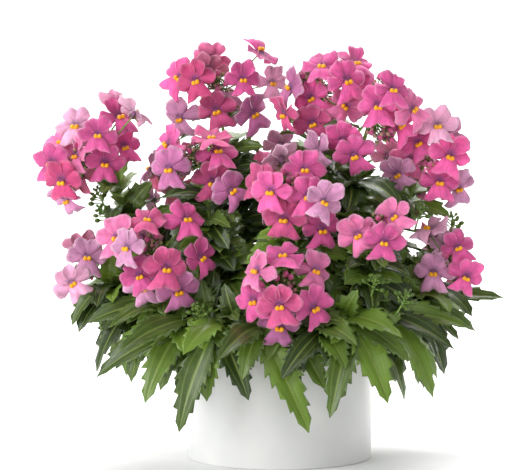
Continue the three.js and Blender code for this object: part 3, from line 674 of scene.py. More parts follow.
def far_shoots():
    found = []
    for i in range(FAR_SHOOTS):
        deg = FAR_SHOOT_FROM + (FAR_SHOOT_TO - FAR_SHOOT_FROM) * i / (FAR_SHOOTS - 1)
        lift = SIDE_LIFT * abs(math.cos(math.radians(deg)))

        def ray(r, turn, z):
            a = (deg + turn) * math.pi / 180
            return (r * math.cos(a), r * math.sin(a), z)

        found.append({
            "root": ray(FAR_SHOOT_ROOT, 0, 0)[:2],
            "over": ray(FAR_SHOOT_OVER[0], 0, FAR_SHOOT_OVER[1]),
            "end": ray(FAR_SHOOT_END[0], 0, FAR_SHOOT_END[1]),
            "leaves": [(ray(r, turn, z + lift), width) for r, turn, z, width in FAR_SHOOT_LEAVES],
        })
    return found


# Small leaves between the large ones, which the solids leave out
SMALL_LEAVES = {"from": 0.16, "to": 0.95, "pairs": 24, "length": 30, "width": 14, "droop": 0.3}
RIM_LEAVES = {"from": 0.3, "to": 0.93, "pairs": 7, "length": 27, "width": 13, "droop": 0.15}
SMALL_GAPS = (2.2, 1.7, 1.2)
# Broad leaves in the shade between the stems. They are given a low age, so a darker green, which is painted
# shade of the plant's inside as well as their age
INNER_LEAVES = {"from": 0.16, "to": 0.8, "pairs": 9, "length": 32, "width": 18, "droop": 0.85}
INNER_GAPS = (1.7, 1.4, 1.2)
INNER_AGE_AND_SHADE = 0.1

# Where the chances of each kind of leaf start counting
LEAF_SEEDS = 20
RIM_SEEDS = 60
SMALL_SEEDS = 90
INNER_SEEDS = 130

# A small leaf is left out where it would stand this near in front of a bloom
VIEW_DEPTH = 30
VIEW_RADIUS = 11

# Green bud tufts on thin side shoots, which stand among the leaves: where each one ends
SPRAYS = [
    (79, -76, 113), (59, -75, 123), (35, -82, 93), (90, -34, 165), (-52, -76, 105), (-119, 0, 174),
    (-116, -8, 163), (112, -10, 158),
]
SPRAY_RISE = 14
SPRAY_BUDS = 13


def spray_stem(heads, tip):
    """The stem that a side shoot leaves, and where: the nearest place that is well below its tip."""
    best = None
    for head in heads:
        for p in head["course"].spaced(STEM_SAMPLES)[SAMPLES_IN_HOLE:]:
            gap = np.linalg.norm(p - tip)
            if p[2] < tip[2] - SPRAY_RISE and (best is None or gap < best[0]):
                best = (gap, head, p)
    return best[1:]


def hides_bloom(leaf, blooms):
    """Whether a leaf would stand in front of an open bloom, where a bloom turns away from it in life."""
    points = np.array(leaf_samples(leaf))
    for b in blooms:
        out = unit(b["facing"])
        off = points - b["throat"]
        ahead = off @ out
        beside = np.linalg.norm(off - ahead[:, None] * out, axis=1)
        if np.any((ahead > 0) & (ahead < VIEW_DEPTH) & (beside < VIEW_RADIUS)):
            return True
    return False


def grow():
    """Plans every head, stem and shoot in the order that the solids were planned in."""
    taken = Taken()
    heads = [dict(h) for h in HEADS]
    heads += [dict(h, name=f"far_side_{i + 1}", far=True) for i, h in enumerate(FAR_HEADS)]
    for h, head in enumerate(heads):
        seed = h + 1
        owner = "flower_head_" + head["name"]
        seen = [bloom_of(head, row, i, seed) for i, row in enumerate(head.get("blooms", []))]
        hidden = far_head_blooms(head, seed) if "far" in head else blooms_behind(head, head["behind"], seed)
        head["kept"] = [
            b for i, b in enumerate(seen + hidden) if settle_bloom(taken, b, owner, i < len(seen))
        ]
        head["buds"] = bud_tips(head, seed)
        taken.take(head["buds"], owner)
        head.update(stem_course(head))
    for head in heads:
        taken.take(head["course"].spaced(STEM_SAMPLES)[SAMPLES_IN_HOLE:], "leafy_stem_" + head["name"])
    shoots = []
    for i, shoot in enumerate(SHOOTS + far_shoots()):
        name = f"leafy_shoot_{i + 1}"
        course = Course([*upright_part(shoot["root"]), shoot["over"], shoot["end"]])
        taken.take(course.spaced(SHOOT_SAMPLES)[SAMPLES_IN_HOLE:], name)
        leaves = []
        for k, (tip, width) in enumerate(shoot["leaves"]):
            leaf = hung_leaf(taken, name, course.point(HEEL_FIRST - HEEL_STEP * k), vec(tip), width)
            taken.take(leaf_samples(leaf), name)
            leaves.append(leaf)
        shoots.append({"name": name, "course": course, "leaves": leaves, "root": shoot["root"]})
    for h, head in enumerate(heads):
        plan = FAR_LEAVES if "far" in head else FRONT_LEAVES
        owner = "leafy_stem_" + head["name"]
        head["leaves"] = paired_leaves(taken, owner, head["course"], plan, LEAF_SEEDS + h)
    for i, shoot in enumerate(shoots):
        name, course = shoot["name"], shoot["course"]
        shoot["small"] = paired_leaves(taken, name, course, RIM_LEAVES, RIM_SEEDS + i, SMALL_GAPS)
    for h, head in enumerate(heads):
        owner = "leafy_stem_" + head["name"]
        head["small"] = paired_leaves(taken, owner, head["course"], SMALL_LEAVES, SMALL_SEEDS + h, SMALL_GAPS)
    for h, head in enumerate(heads):
        owner = "leafy_stem_" + head["name"]
        inner = paired_leaves(taken, owner, head["course"], INNER_LEAVES, INNER_SEEDS + h, INNER_GAPS)
        # The inner leaves' low age darkens their green: painted shade inside the plant as well as age
        head["small"] += [dict(leaf, age=INNER_AGE_AND_SHADE) for leaf in inner]
    for head in heads:
        head["sprays"] = []
    for tip in SPRAYS:
        head, base = spray_stem(heads, vec(*tip))
        head["sprays"].append((base, vec(*tip)))
    blooms = [b for head in heads for b in head["kept"]]
    for plant in heads + shoots:
        plant["small"] = [leaf for leaf in plant["small"] if not hides_bloom(leaf, blooms)]
    return heads, shoots


PLANT_HEADS, PLANT_SHOOTS = grow()


# Making meshes

class Piece:
    """Gathers points in millimetres, faces, finishes and marks, and makes one mesh object of them."""

    def __init__(self, marks=()):
        self.points, self.faces, self.finish = [], [], []
        self.marks = {name: [] for name in marks}
        self.count = 0

    def add(self, points, faces, finish=0, **marks):
        points = np.asarray(points, dtype=float).reshape(-1, 3)
        self.points.append(points)
        self.faces.extend((np.asarray(f) + self.count).tolist() for f in faces)
        self.finish.extend([finish] * len(faces))
        for name, rows in self.marks.items():
            values = np.asarray(marks.get(name, (0, 0, 0)), dtype=float)
            rows.append(np.broadcast_to(values, (len(points), 3)))
        self.count += len(points)

    def make(self, name, materials, slot, node):
        mesh = bpy.data.meshes.new(name)
        mesh.from_pydata(np.vstack(self.points) * MM, [], self.faces)
        for mark, rows in self.marks.items():
            layer = mesh.attributes.new(mark, "FLOAT_VECTOR", "POINT")
            layer.data.foreach_set("vector", np.vstack(rows).astype(np.float32).ravel())
        for material in materials:
            mesh.materials.append(material)
        mesh.polygons.foreach_set("material_index", np.array(self.finish, dtype=np.int32))
        mesh.polygons.foreach_set("use_smooth", np.ones(len(self.faces), dtype=bool))
        mesh.validate()
        made = bpy.data.objects.new(name, mesh)
        bpy.context.scene.collection.objects.link(made)
        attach(made, BODY)
        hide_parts(node)


def circle(sides):
    """The angles of evenly spaced points on a ring."""
    return 2 * np.pi * np.arange(sides) / sides


def aside(axis, near=(0.2, 0.9, 0.4)):
    """A direction square to an axis."""
    return unit(np.cross(axis, vec(near)))


def grid_normals(grid):
    down = np.gradient(grid, axis=0)
    over = np.gradient(grid, axis=1)
    n = np.cross(over, down)
    return n / np.maximum(np.linalg.norm(n, axis=2, keepdims=True), 1e-9)


def thin_sheet(grid, thin):
    """The points of a thin closed sheet, front and then back, and its faces with the rim between them."""
    rows, columns = grid.shape[:2]
    index = np.arange(rows * columns).reshape(rows, columns)
    corners = (index[:-1, :-1], index[:-1, 1:], index[1:, 1:], index[1:, :-1])
    front = np.stack(corners, axis=-1).reshape(-1, 4)
    back = front[:, ::-1] + rows * columns
    ring = np.concatenate([index[0, :], index[1:, -1], index[-1, -2::-1], index[-2:0:-1, 0]])
    after = np.roll(ring, -1)
    rim = np.stack([after, ring, ring + rows * columns, after + rows * columns], axis=-1)
    points = np.vstack([grid.reshape(-1, 3), (grid - grid_normals(grid) * thin).reshape(-1, 3)])
    return points, [*front, *back, *rim]


def tube_rings(points, radii, sides):
    """Rings round a line of points, each turned as little as it can be from the last."""
    points = [vec(p) for p in points]
    runs = [unit(points[min(i + 1, len(points) - 1)] - points[max(i - 1, 0)]) for i in range(len(points))]
    side = aside(runs[0], (0.31, 0.83, 0.47))
    rings = []
    a = circle(sides)
    for p, run, r in zip(points, runs, radii):
        side = unit(side - run * (side @ run))
        other = np.cross(run, side)
        rings.append(p + r * (np.cos(a)[:, None] * side + np.sin(a)[:, None] * other))
    return np.array(rings)


def tube_faces(rings, sides):
    """Faces of a closed tube: its wall and a flat cap at each end."""
    i = np.arange(sides)
    j = (i + 1) % sides
    walls = [
        np.stack([r * sides + i, r * sides + j, (r + 1) * sides + j, (r + 1) * sides + i], axis=-1)
        for r in range(rings - 1)
    ]
    return [*np.vstack(walls), i[::-1], (rings - 1) * sides + i]


def add_tube(piece, points, radii, sides, finish=0, **marks):
    rings = tube_rings(points, radii, sides)
    piece.add(rings.reshape(-1, 3), tube_faces(len(points), sides), finish, **marks)


def add_stalk(piece, points, radii, sides=6, finish=1):
    add_tube(piece, points, radii, sides, finish, leaf_age=(0.5, 0.4, 0))


def turned_rings(profile, sides):
    """The rings of a shape turned on a wheel, from its profile of radii and heights."""
    a = circle(sides)
    return [np.stack([r * np.cos(a), r * np.sin(a), np.full(sides, z)], axis=-1) for r, z in profile]


def ball(rows, sides, flat=0.15):
    """The points of a ball of radius 1 and its faces, as closed rings from one flat end to the other."""
    turns = np.linspace(flat, math.pi - flat, rows)
    rings = turned_rings([(math.sin(t), -math.cos(t)) for t in turns], sides)
    return np.array(rings).reshape(-1, 3), tube_faces(rows, sides)


BALL_POINTS, BALL_FACES = ball(6, 9)


# Leaves and stems

LEAF_MARKS = ("leaf_place", "leaf_age")

# Teeth and columns of points of a leaf that the solids have, and of a small one
LARGE_BLADE = (6, 9)
SMALL_BLADE = (4, 5)

# The small leaves of a stem or shoot draw their chances from this counter on
SMALL_LEAF_SEEDS = 50

# Where along a leaf its teeth start, how far they go on, how far in and out they reach and lean ahead
TEETH_START = 0.16
TEETH_RUN = 0.76
TOOTH_IN = 0.8
FIRST_TOOTH_IN = 0.1
TOOTH_OUT = 1.13
TOOTH_OUT_VARIES = 0.12
TOOTH_RISE = 0.74
TOOTH_SHIFTS = 0.24
TOOTH_AHEAD = 0.3
LEAF_BREADTH = 1.07

# The smooth stretches at a leaf's foot and tip: how far along, and the share of the half width
LEAF_FOOT = [(0.0, 1.0), (0.07, 1.0)]
LEAF_TIP = [(0.95, 0.95), (0.985, 0.95), (1.0, 1.0)]

# The veins: the midrib's breadth, and the side veins' place and breadth, as shares of the half width;
# how deep the side veins are beside the midrib; and how far the midrib cuts into the swelling
MIDRIB_BREADTH = 0.16
VEIN_AT = 0.5
VEIN_BREADTH = 0.15
VEIN_DEPTH = 0.5
GROOVE_DEPTH = 1.6

# Shares of a leaf's half width: the swelling between its veins, its wavy edge and how its edge curls under
LEAF_SWELL = 0.13
LEAF_WAVE = 0.2
LEAF_CURL = 0.16

# The waves down a leaf, how far one edge's run ahead of the other's, how far the leaf twists to its tip,
# its least half width, and how much the leaves of a stem differ in age
LEAF_WAVES = 9
WAVES_APART = 1.3
LEAF_TWIST = 0.5
LEAF_LEAST_HALF = 0.2
AGE_SPREAD = 1.3

# Shares of a leaf's thickness at its edge and added at its midrib, and how broad that is
EDGE_THIN = 0.55
RIB_THICK = 0.45
RIB_BREADTH = 0.2

# A stem: its rings and sides, how thick its foot is, how far it thins, and how many times and how much it
# swells along its length
STEM_RINGS = 34
STEM_SIDES = 8
STEM_FOOT = 1.05
STEM_THINS = 0.25
STEM_PAIRS = 9
STEM_SWELLS = 0.07


def blade_half(t):
    """The half width of a leaf of width 1 without its teeth: narrow at the foot and blunt at the tip."""
    return 0.5 * max(0.0, math.sin(math.pi * t ** 0.8)) ** (0.98 - 0.2 * t) + 0.03 * (1 - t)


def add_leaf(piece, leaf, blade, seed, sizes):
    """One leaf: sharp teeth along both edges, three sunken veins and a wavy margin."""
    teeth, columns = blade
    step = TEETH_RUN / teeth
    stations = list(LEAF_FOOT)
    for k in range(teeth):
        t = TEETH_START + step * (k + TOOTH_SHIFTS * swing(seed + k, 13))
        tooth = TOOTH_OUT + TOOTH_OUT_VARIES * swing(seed + k, 15)
        stations += [(t, TOOTH_IN + FIRST_TOOTH_IN * (k == 0)), (t + TOOTH_RISE * step, tooth)]
    stations += LEAF_TIP
    c = np.linspace(-1, 1, columns)
    veins = np.exp(-(((np.abs(c) - VEIN_AT) / VEIN_BREADTH) ** 2))
    groove = np.exp(-((c / MIDRIB_BREADTH) ** 2)) + VEIN_DEPTH * veins
    phase = ALL_ROUND * chance(seed, 3)
    turn = LEAF_TWIST * swing(seed, 5)
    run = unit(leaf["tip"] - leaf["base"])
    grid, place = [], []
    for t, share in stations:
        side, face = leaf_axes(leaf, t)
        twist = turn * t
        across = side * math.cos(twist) + face * math.sin(twist)
        off = face * math.cos(twist) - side * math.sin(twist)
        half = max(blade_half(t) * leaf["width"] * LEAF_BREADTH, LEAF_LEAST_HALF)
        x = c * half * (1 + (share - 1) * c ** 6)
        swell = half * LEAF_SWELL * (1 - GROOVE_DEPTH * groove)
        wave = half * LEAF_WAVE * np.sin(LEAF_WAVES * t + phase + WAVES_APART * np.sign(c)) * c * c
        curl = -half * LEAF_CURL * c ** 4
        spine = along(leaf["base"], leaf["tip"], leaf["bend"], t)
        lift = LEAF_FOLD * np.abs(x) + swell + wave + curl
        ahead = TOOTH_AHEAD * (share > 1) * half * c ** 6
        grid.append(spine + x[:, None] * across + lift[:, None] * off + ahead[:, None] * run)
        place.append([(u, t, 0.0) for u in c])
    thick = EDGE_THIN + RIB_THICK * np.exp(-((c / RIB_BREADTH) ** 2))
    thin = sizes.leaf_thickness / MM * thick[None, :, None]
    points, faces = thin_sheet(np.array(grid), thin)
    place = np.array(place).reshape(-1, 3)
    marks = np.vstack([place, place + vec(0, 0, 1)])
    age = (leaf.get("age", 0.5) + AGE_SPREAD * swing(seed, 9), chance(seed, 11), 0)
    piece.add(points, faces, 0, leaf_place=marks, leaf_age=age)


def add_stem(piece, course, radius, seed):
    """A stem that swells a little at evenly spaced places along it and grows thinner towards the top."""
    shares = np.linspace(0, 1, STEM_RINGS)
    points = [course.point(u) for u in shares]
    swells = [STEM_SWELLS * math.cos(2 * math.pi * STEM_PAIRS * u) for u in shares]
    radii = [radius * (STEM_FOOT - STEM_THINS * u + swell) for u, swell in zip(shares, swells)]
    add_tube(piece, points, radii, STEM_SIDES, 1, leaf_age=(0.5, chance(seed, 2), 0))


def add_leafy_stem(plant, radius, stem_seed, seed, sizes):
    """A piece with a stem or shoot and its leaves, the large ones and then the small."""
    piece = Piece(LEAF_MARKS)
    add_stem(piece, plant["course"], radius, stem_seed)
    for k, leaf in enumerate(plant["leaves"]):
        add_leaf(piece, leaf, LARGE_BLADE, seed + k, sizes)
    for k, leaf in enumerate(plant["small"]):
        add_leaf(piece, leaf, SMALL_BLADE, seed + SMALL_LEAF_SEEDS + k, sizes)
    return piece


# A spray's stem: the share of its length in which it is upright, and its radii. Its buds: how far
# below the tip the first one is, the step down to the next and the turn between them. Their radius and
# how far they stand out and up are given for the first one, with what each one below it adds.
SPRAY_UPRIGHT = 0.45
SPRAY_RADII = [1.0, 0.8, 0.45]
SPRAY_FIRST = 0.8
SPRAY_STEP = 0.75
SPRAY_TURN = 2.4
SPRAY_BUD = (0.95, 0.06)
SPRAY_OUT = (1.0, 0.42)
SPRAY_UP = (1.8, 0.1)
SPRAY_STALK = [0.35, 0.5]
SPRAY_BUD_SHAPE = (1.0, 1.0, 1.3)


def add_spray(piece, base, tip, seed):
    """A thin side shoot that ends in green buds, each on its own stalk and larger further down."""
    length = np.linalg.norm(tip - base)
    lean = unit(tip - base + vec(0, 0, length))
    add_stalk(piece, [base, tip - lean * SPRAY_UPRIGHT * length, tip], SPRAY_RADII)
    side = aside(lean)
    for k in range(SPRAY_BUDS):
        heel = tip - lean * (SPRAY_FIRST + SPRAY_STEP * k)
        out = turned(side, lean, SPRAY_TURN * k + ALL_ROUND * chance(seed, 71))
        size = between(SPRAY_BUD, k)
        head = heel + out * between(SPRAY_OUT, k) + lean * between(SPRAY_UP, k)
        add_stalk(piece, [heel, head], SPRAY_STALK, 5)
        up = unit(head - heel)
        across = unit(np.cross(up, side))
        body = BALL_POINTS * vec(*SPRAY_BUD_SHAPE) * size @ np.stack([across, np.cross(up, across), up])
        age = (0.45, chance(seed + k, 73), 0)
        piece.add(head + up * size + body, BALL_FACES, 0, leaf_place=(0.3, 0.5, 0), leaf_age=age)


# Blooms

PETAL_MARKS = ("petal_colour", "petal_place", "petal_zone")

# Each lobe: the way its middle points and half its spread, in degrees from the top; its length; how
# far out the notches beside it are; how far its edge comes forward; how much that differs from bloom
# to bloom; and how strongly the throat's colour marks it
UPPER_LOBES = [(-25, 37, 13.5, 0.46, 1.1, 2.6, 1.0), (25, 37, 13.7, 0.46, 1.5, 2.6, 1.0)]
SIDE_LOBES = [(-84, 39, 13.4, 0.42, -1.6, 2.9, 0.7), (84, 39, 13.4, 0.42, -1.3, 2.9, 0.7)]
THROAT_RADIUS = 1.6
LOBE_COLUMNS = 13
LOBE_ROWS = 8
LOBE_RUFFLE = 1.35
FINE_RUFFLE = 0.4
LOBE_LENGTH_VARIES = 0.16
LOBE_TURN_VARIES = 7
LOBE_BOW = (0.9, 1.8)

# A lobe's edge: the powers that round it, and how deep its broad and its fine frill are
EDGE_SQUARE = 2.3
EDGE_FULL = 0.55
BROAD_FRILL = 0.035
FINE_FRILL = 0.014

# The lip: half its width at the neck, how much that grows to the corners, its length in the middle,
# its points, how far below the throat it starts, how much brighter it is and how marked by the throat
LIP_NECK = 3.7
LIP_FLARE = 6.0
LIP_LENGTH = 11.6
LIP_COLUMNS = 17
LIP_ROWS = 10
LIP_TOP = 1.1
LIP_TINT = 1.13
LIP_MARKED = 0.25

# The lip's edge: how much longer it is at its sides, how its corners round off, and its middle notch
# and frill
LIP_SIDES = 2.5
LIP_CORNERS = 2.2
LIP_NOTCH = 1.1
LIP_NOTCH_BREADTH = 0.16
LIP_FRILL = 0.35

# How far the lip stands and bows forward, and waves. Its length, its flare and how far its end turns
# back differ from bloom to bloom, each given as a least and a span.
LIP_FORWARD = 1.1
LIP_BOW = 2.5
LIP_RUFFLE = 0.75
LIP_LENGTHS = (0.95, 0.13)
LIP_FLARES = (0.85, 0.3)
LIP_BACK = (1.2, 1.6)

# The palate's two pads and the low ridge between them: place and half sizes
PALATE = [
    (-1.35, -1.35, 1.9, 1.45, 1.6, 1.3),
    (1.35, -1.35, 1.9, 1.45, 1.6, 1.3),
    (0, -1.7, 1.7, 1.3, 1.1, 0.9),
]

# The tube and the spur behind the lobes, along their middles, with the radius there
TUBE = [(0, -1, -TUBE_LENGTH), (0, -0.6, -2.2), (0, -0.2, -0.3), (0, 0, 0.7)]
TUBE_RADII = [1.0, 1.7, 2.2, 2.1]
SPUR = [(0, -1.6, -1.6), (0, -3.3, -2.6), (0, -5.0, -3.0), (0, -6.6, -2.7)]
SPUR_RADII = [0.95, 0.75, 0.5, 0.3]

# How old the blooms of each tone are, from just open to nearly spent
TONE_AGE = {"pale": 0.95, "lilac": 0.8, "mauve": 0.6, "rose": 0.45, "hot": 0.15, "deep": 0.1, "crimson": 0.0}

# The calyx: its sepals, and how thick, long, broad and folded each one is
SEPALS = 5
SEPAL_THICKNESS = 0.25
SEPAL_LENGTH = 3.4
SEPAL_HALF = 0.62
SEPAL_FOLD = 0.25

# A bloom's stalk: its radii, how far along it bends and how far it sags there
STALK_RADII = [0.55, 0.5, 0.6]
STALK_BEND = 0.55
STALK_SAG = 0.09

# A bud: its rings and sides, its sizes in millimetres, and how deep its folds are
BUD_RINGS = 7
BUD_SIDES = 10
BUD_LENGTH = 5.4
BUD_RADIUS = 2.05
BUD_CREASE = 0.12
BUD_SEPALS = 3.6

# The size of a large bud in a tuft. The young ones round it: how many, how far out they stand and how
# far along, the most of the deep pink that they have, and their size, each as a least and a span.
TUFT_BUD = 0.9
YOUNG_BUDS = 4
YOUNG_OUT = (2.6, 2.2)
YOUNG_ALONG = (0.72, 0.22)
YOUNG_PINK = 0.6
YOUNG_SIZE = (0.45, 0.25)

# The stem's end inside a head: its radii, where it stops being straight and how far it reaches past
CORE_RADII = [1.3, 1.2, 1.5, 0.8]
CORE_SIDES = 8
CORE_STRAIGHT = 8
CORE_PAST = 4


def add_petal(piece, b, grid, seed, marked, uu, vv, sizes, tint=1.0):
    """A petal lobe as a thin closed sheet, with its place, colour and age for the material."""
    points, faces = thin_sheet(grid, sizes.petal_thickness / MM)
    place = np.stack([uu, vv, np.zeros_like(uu)], axis=-1).reshape(-1, 3)
    marks = np.vstack([place, place + vec(0, 0, 1)])
    piece.add(
        b["frame"](points), faces, 0, petal_colour=b["colour"] * tint,
        petal_place=marks, petal_zone=(marked, b["age"], chance(seed, 39)),
    )


def add_lobe(piece, lobe, b, seed, sizes):
    """A rounded lobe, cupped and ruffled, as a wedge that widens from the throat."""
    centre, spread, length, notch, forward, differs, marked = lobe
    u, v = np.linspace(-1, 1, LOBE_COLUMNS), np.linspace(0, 1, LOBE_ROWS) ** 0.85
    vv, uu = np.meshgrid(v, u, indexing="ij")
    length = length * (1 + LOBE_LENGTH_VARIES * swing(seed, 31))
    round_edge = notch + (1 - notch) * np.maximum(0, 1 - np.abs(u) ** EDGE_SQUARE) ** EDGE_FULL
    broad, fine = np.sin(6 * u + ALL_ROUND * chance(seed, 33)), np.sin(17 * u + 5 * chance(seed, 34))
    outline = length * round_edge * (1 + BROAD_FRILL * broad + FINE_FRILL * fine)
    a = np.radians(centre + u * spread + LOBE_TURN_VARIES * swing(seed, 35))[None, :]
    r = THROAT_RADIUS + (outline[None, :] - THROAT_RADIUS) * vv
    tip = forward + differs * (2 * chance(seed, 37) - 1) + b["cup"]
    ruffle = LOBE_RUFFLE * np.sin(4.6 * uu + ALL_ROUND * chance(seed, 36)) * vv ** 2.5
    ruffle = ruffle + FINE_RUFFLE * np.sin(12 * uu + ALL_ROUND * chance(seed, 38)) * vv ** 4
    layer = 0.5 if abs(centre) < 60 else 0.05
    bow = between(LOBE_BOW, chance(seed, 44))
    z = layer + 0.5 * vv + tip * vv ** 2 - bow * vv * uu ** 2 + ruffle
    grid = np.stack([r * np.sin(a), r * np.cos(a), z], axis=-1)
    add_petal(piece, b, grid, seed, marked, uu, vv, sizes)


def add_lip(piece, b, seed, sizes):
    """The lip: a skirt that bows forward under the palate and flares to two corners."""
    u, v = np.linspace(-1, 1, LIP_COLUMNS), np.linspace(0, 1, LIP_ROWS)
    vv, uu = np.meshgrid(v, u, indexing="ij")
    length = LIP_LENGTH * between(LIP_LENGTHS, chance(seed, 31))
    flare = LIP_FLARE * between(LIP_FLARES, chance(seed, 32))
    notch = LIP_NOTCH * np.exp(-((u / LIP_NOTCH_BREADTH) ** 2))
    edge = length + LIP_SIDES * np.abs(u) ** 1.6 - LIP_CORNERS * np.abs(u) ** 7 - notch
    edge = edge + LIP_FRILL * np.sin(9 * u + ALL_ROUND * chance(seed, 33))
    x = -uu * (LIP_NECK + flare * vv ** 0.9)
    y = -LIP_TOP - (edge[None, :] - LIP_TOP) * vv
    back = between(LIP_BACK, chance(seed, 37))
    bow = LIP_FORWARD + LIP_BOW * np.sin(2.1 * vv) - back * vv ** 2 + 0.5 * b["cup"] * vv ** 2
    fold = (1.0 + 1.7 * vv) * uu ** 2 + 0.5 * np.exp(-((uu / 0.12) ** 2)) * vv
    ruffle = LIP_RUFFLE * np.sin(5.5 * uu + ALL_ROUND * chance(seed, 36)) * vv ** 3
    lean = 1.2 * swing(seed, 40) * vv ** 2
    grid = np.stack([x + lean, y, bow - fold + ruffle], axis=-1)
    add_petal(piece, b, grid, seed, LIP_MARKED, uu, vv, sizes, LIP_TINT)


def bloom_frame(b):
    """Sets points of an upright bloom at its own place, turn and size."""
    out, right, up = bloom_axes(b["facing"], b["roll"])
    k = b["width"] / BLOOM_WIDTH
    base = np.stack([right, up, out])

    def place(points):
        return b["throat"] + (np.asarray(points, dtype=float) * k) @ base

    return place


def add_bloom(piece, green, b, seed, sizes, palette):
    """One bloom: four rounded lobes in two layers, the lip, two palate pads, tube, spur and calyx."""
    b["frame"] = bloom_frame(b)
    b["age"] = TONE_AGE[b["tone"]]
    b["cup"] = 3.0 * swing(seed, 42) - 0.7 * b["age"]
    b["colour"] = palette[b["tone"]] * (0.95 + 0.3 * chance(seed, 41))
    for i, lobe in enumerate(SIDE_LOBES + UPPER_LOBES):
        add_lobe(piece, lobe, b, seed + 0.37 * (i + 1), sizes)
    add_lip(piece, b, seed + 0.91, sizes)
    for x, y, z, *half_sizes in PALATE:
        bump = BALL_POINTS * vec(*half_sizes) + vec(x, y, z)
        piece.add(b["frame"](bump), BALL_FACES, 1, petal_zone=(0, 0, chance(seed, 43)))
    # The tube is closed at the throat by its floor. The whole tube takes the petal colour darkened to 0.8,
    # painted shade for the depth of the throat, as well as the throat's violet blotch
    add_tube(
        piece, b["frame"](TUBE), np.array(TUBE_RADII) * b["width"] / BLOOM_WIDTH, 9, 0,
        petal_colour=b["colour"] * 0.8, petal_place=(0, 0.02, 0), petal_zone=(1, b["age"], 0.3),
    )
    add_tube(green, b["frame"](SPUR), SPUR_RADII, 6, 2, leaf_age=(0.5, 0.5, 0))
    add_calyx(green, b["frame"], vec(0, -1, 0.4 - TUBE_LENGTH), SEPAL_LENGTH, seed)
    heel = b["frame"]([(0, -1, -TUBE_LENGTH)])[0]
    inward = b["core"] - heel
    middle = heel + inward * STALK_BEND + vec(0, 0, -STALK_SAG * np.linalg.norm(inward))
    add_stalk(green, [heel, middle, b["core"]], STALK_RADII)


def add_calyx(green, frame_of, foot, length, seed):
    """Five narrow sepals that spread like a star from where the flower stands on its stalk."""
    axis = vec(0, 0, 1)
    side = aside(axis)
    other = np.cross(axis, side)
    u, v = np.array([-1, 0, 1]), np.linspace(0, 1, 5)
    uu, vv = np.meshgrid(u, v)
    place = np.stack([uu, vv, np.zeros_like(vv)], axis=-1).reshape(-1, 3)
    for i in range(SEPALS):
        a = 2 * math.pi * i / SEPALS + 0.5 * chance(seed, 51)
        out = side * math.cos(a) + other * math.sin(a)
        across = np.cross(out, axis)
        rows = []
        for t in v:
            spine = foot + out * (0.7 + length * t * 0.75) + axis * (length * t * 0.55 - 0.9 * t * t)
            half = SEPAL_HALF * math.sin(math.pi * (0.18 + 0.8 * t)) + 0.05
            rows.append(spine + u[:, None] * across * half - axis * (SEPAL_FOLD * np.abs(u))[:, None])
        points, faces = thin_sheet(np.array(rows), SEPAL_THICKNESS)
        age = (0.15, chance(seed, 53), 0)
        green.add(frame_of(points), faces, 0, leaf_place=np.vstack([place, place]), leaf_age=age)


def add_bud(piece, green, tip, core, size, seed, colour):
    """A closed bud: folded petals in a green calyx, on a thin stalk."""
    axis = unit(tip - core)
    side = aside(axis)
    other = np.cross(axis, side)
    length = BUD_LENGTH * size
    foot = tip - axis * length

    def frame_of(points):
        return foot + np.asarray(points, dtype=float) @ np.stack([side, other, axis])

    s = np.linspace(0, 1, BUD_RINGS)[:, None]
    a = circle(BUD_SIDES)[None, :]
    crease = 1 + BUD_CREASE * np.cos(3 * a + 3.0 * s)
    r = size * BUD_RADIUS * np.sin(np.pi * (0.12 + 0.8 * s)) ** 0.8 * crease
    flat = np.zeros((BUD_RINGS, BUD_SIDES))
    body = np.stack([r * np.cos(a), r * np.sin(a), flat + s * length], axis=-1)
    place = np.stack([np.cos(a) + flat, 0.4 + 0.5 * s + flat, flat], axis=-1).reshape(-1, 3)
    piece.add(
        frame_of(body.reshape(-1, 3)), tube_faces(BUD_RINGS, BUD_SIDES), 0,
        petal_colour=colour, petal_place=place, petal_zone=(0, 0.2, chance(seed, 61)),
    )
    add_calyx(green, frame_of, vec(0, 0, 0.2), BUD_SEPALS * size, seed + 0.5)
    bow = foot + (core - foot) * 0.5 + side * 0.6
    add_stalk(green, [foot + axis * 0.4, bow, core], [0.5 * size, 0.42, 0.5])


def add_tuft(piece, green, head, seed, palette):
    """The buds in a head's middle: the large pink ones, and small greener ones between them."""
    core = vec(head["middle"])
    for i, tip in enumerate(head["buds"]):
        add_bud(piece, green, tip, core, TUFT_BUD, 10 * seed + i, palette["deep"])
        away = unit(tip - core)
        for k in range(YOUNG_BUDS):
            a = 2 * math.pi * (k + chance(seed, 500 + i)) / YOUNG_BUDS
            spread = turned(aside(away), away, a) * between(YOUNG_OUT, chance(seed + i, 510 + k))
            young = core + (tip - core) * between(YOUNG_ALONG, chance(seed + i, 520 + k)) + spread
            share = YOUNG_PINK * chance(seed + i, 530 + k)
            colour = palette["bud"] * (1 - share) + palette["deep"] * share
            add_bud(piece, green, young, core, between(YOUNG_SIZE, share), 20 * seed + k, colour)


# Colours and materials

def linear(hex_colour):
    """A colour written as sRGB hex, as the renderer's linear values."""
    parts = [int(hex_colour[i:i + 2], 16) / 255 for i in (1, 3, 5)]
    return (*[c / 12.92 if c <= 0.04045 else ((c + 0.055) / 1.055) ** 2.4 for c in parts], 1.0)


def add_node(tree, kind, inputs=None, gives=0, **settings):
    """Adds one node with its settings, fills its inputs with values or links, and gives one output."""
    node = tree.nodes.new(kind)
    for name, value in settings.items():
        setattr(node, name, value)
    for name, value in (inputs or {}).items():
        if isinstance(value, bpy.types.NodeSocket):
            tree.links.new(value, node.inputs[name])
        else:
            node.inputs[name].default_value = value
    return node.outputs[gives] if gives is not None else node.outputs


def new_material(name):
    material = bpy.data.materials.new(name)
    material.use_nodes = True
    tree = material.node_tree
    tree.nodes.clear()
    return material, tree


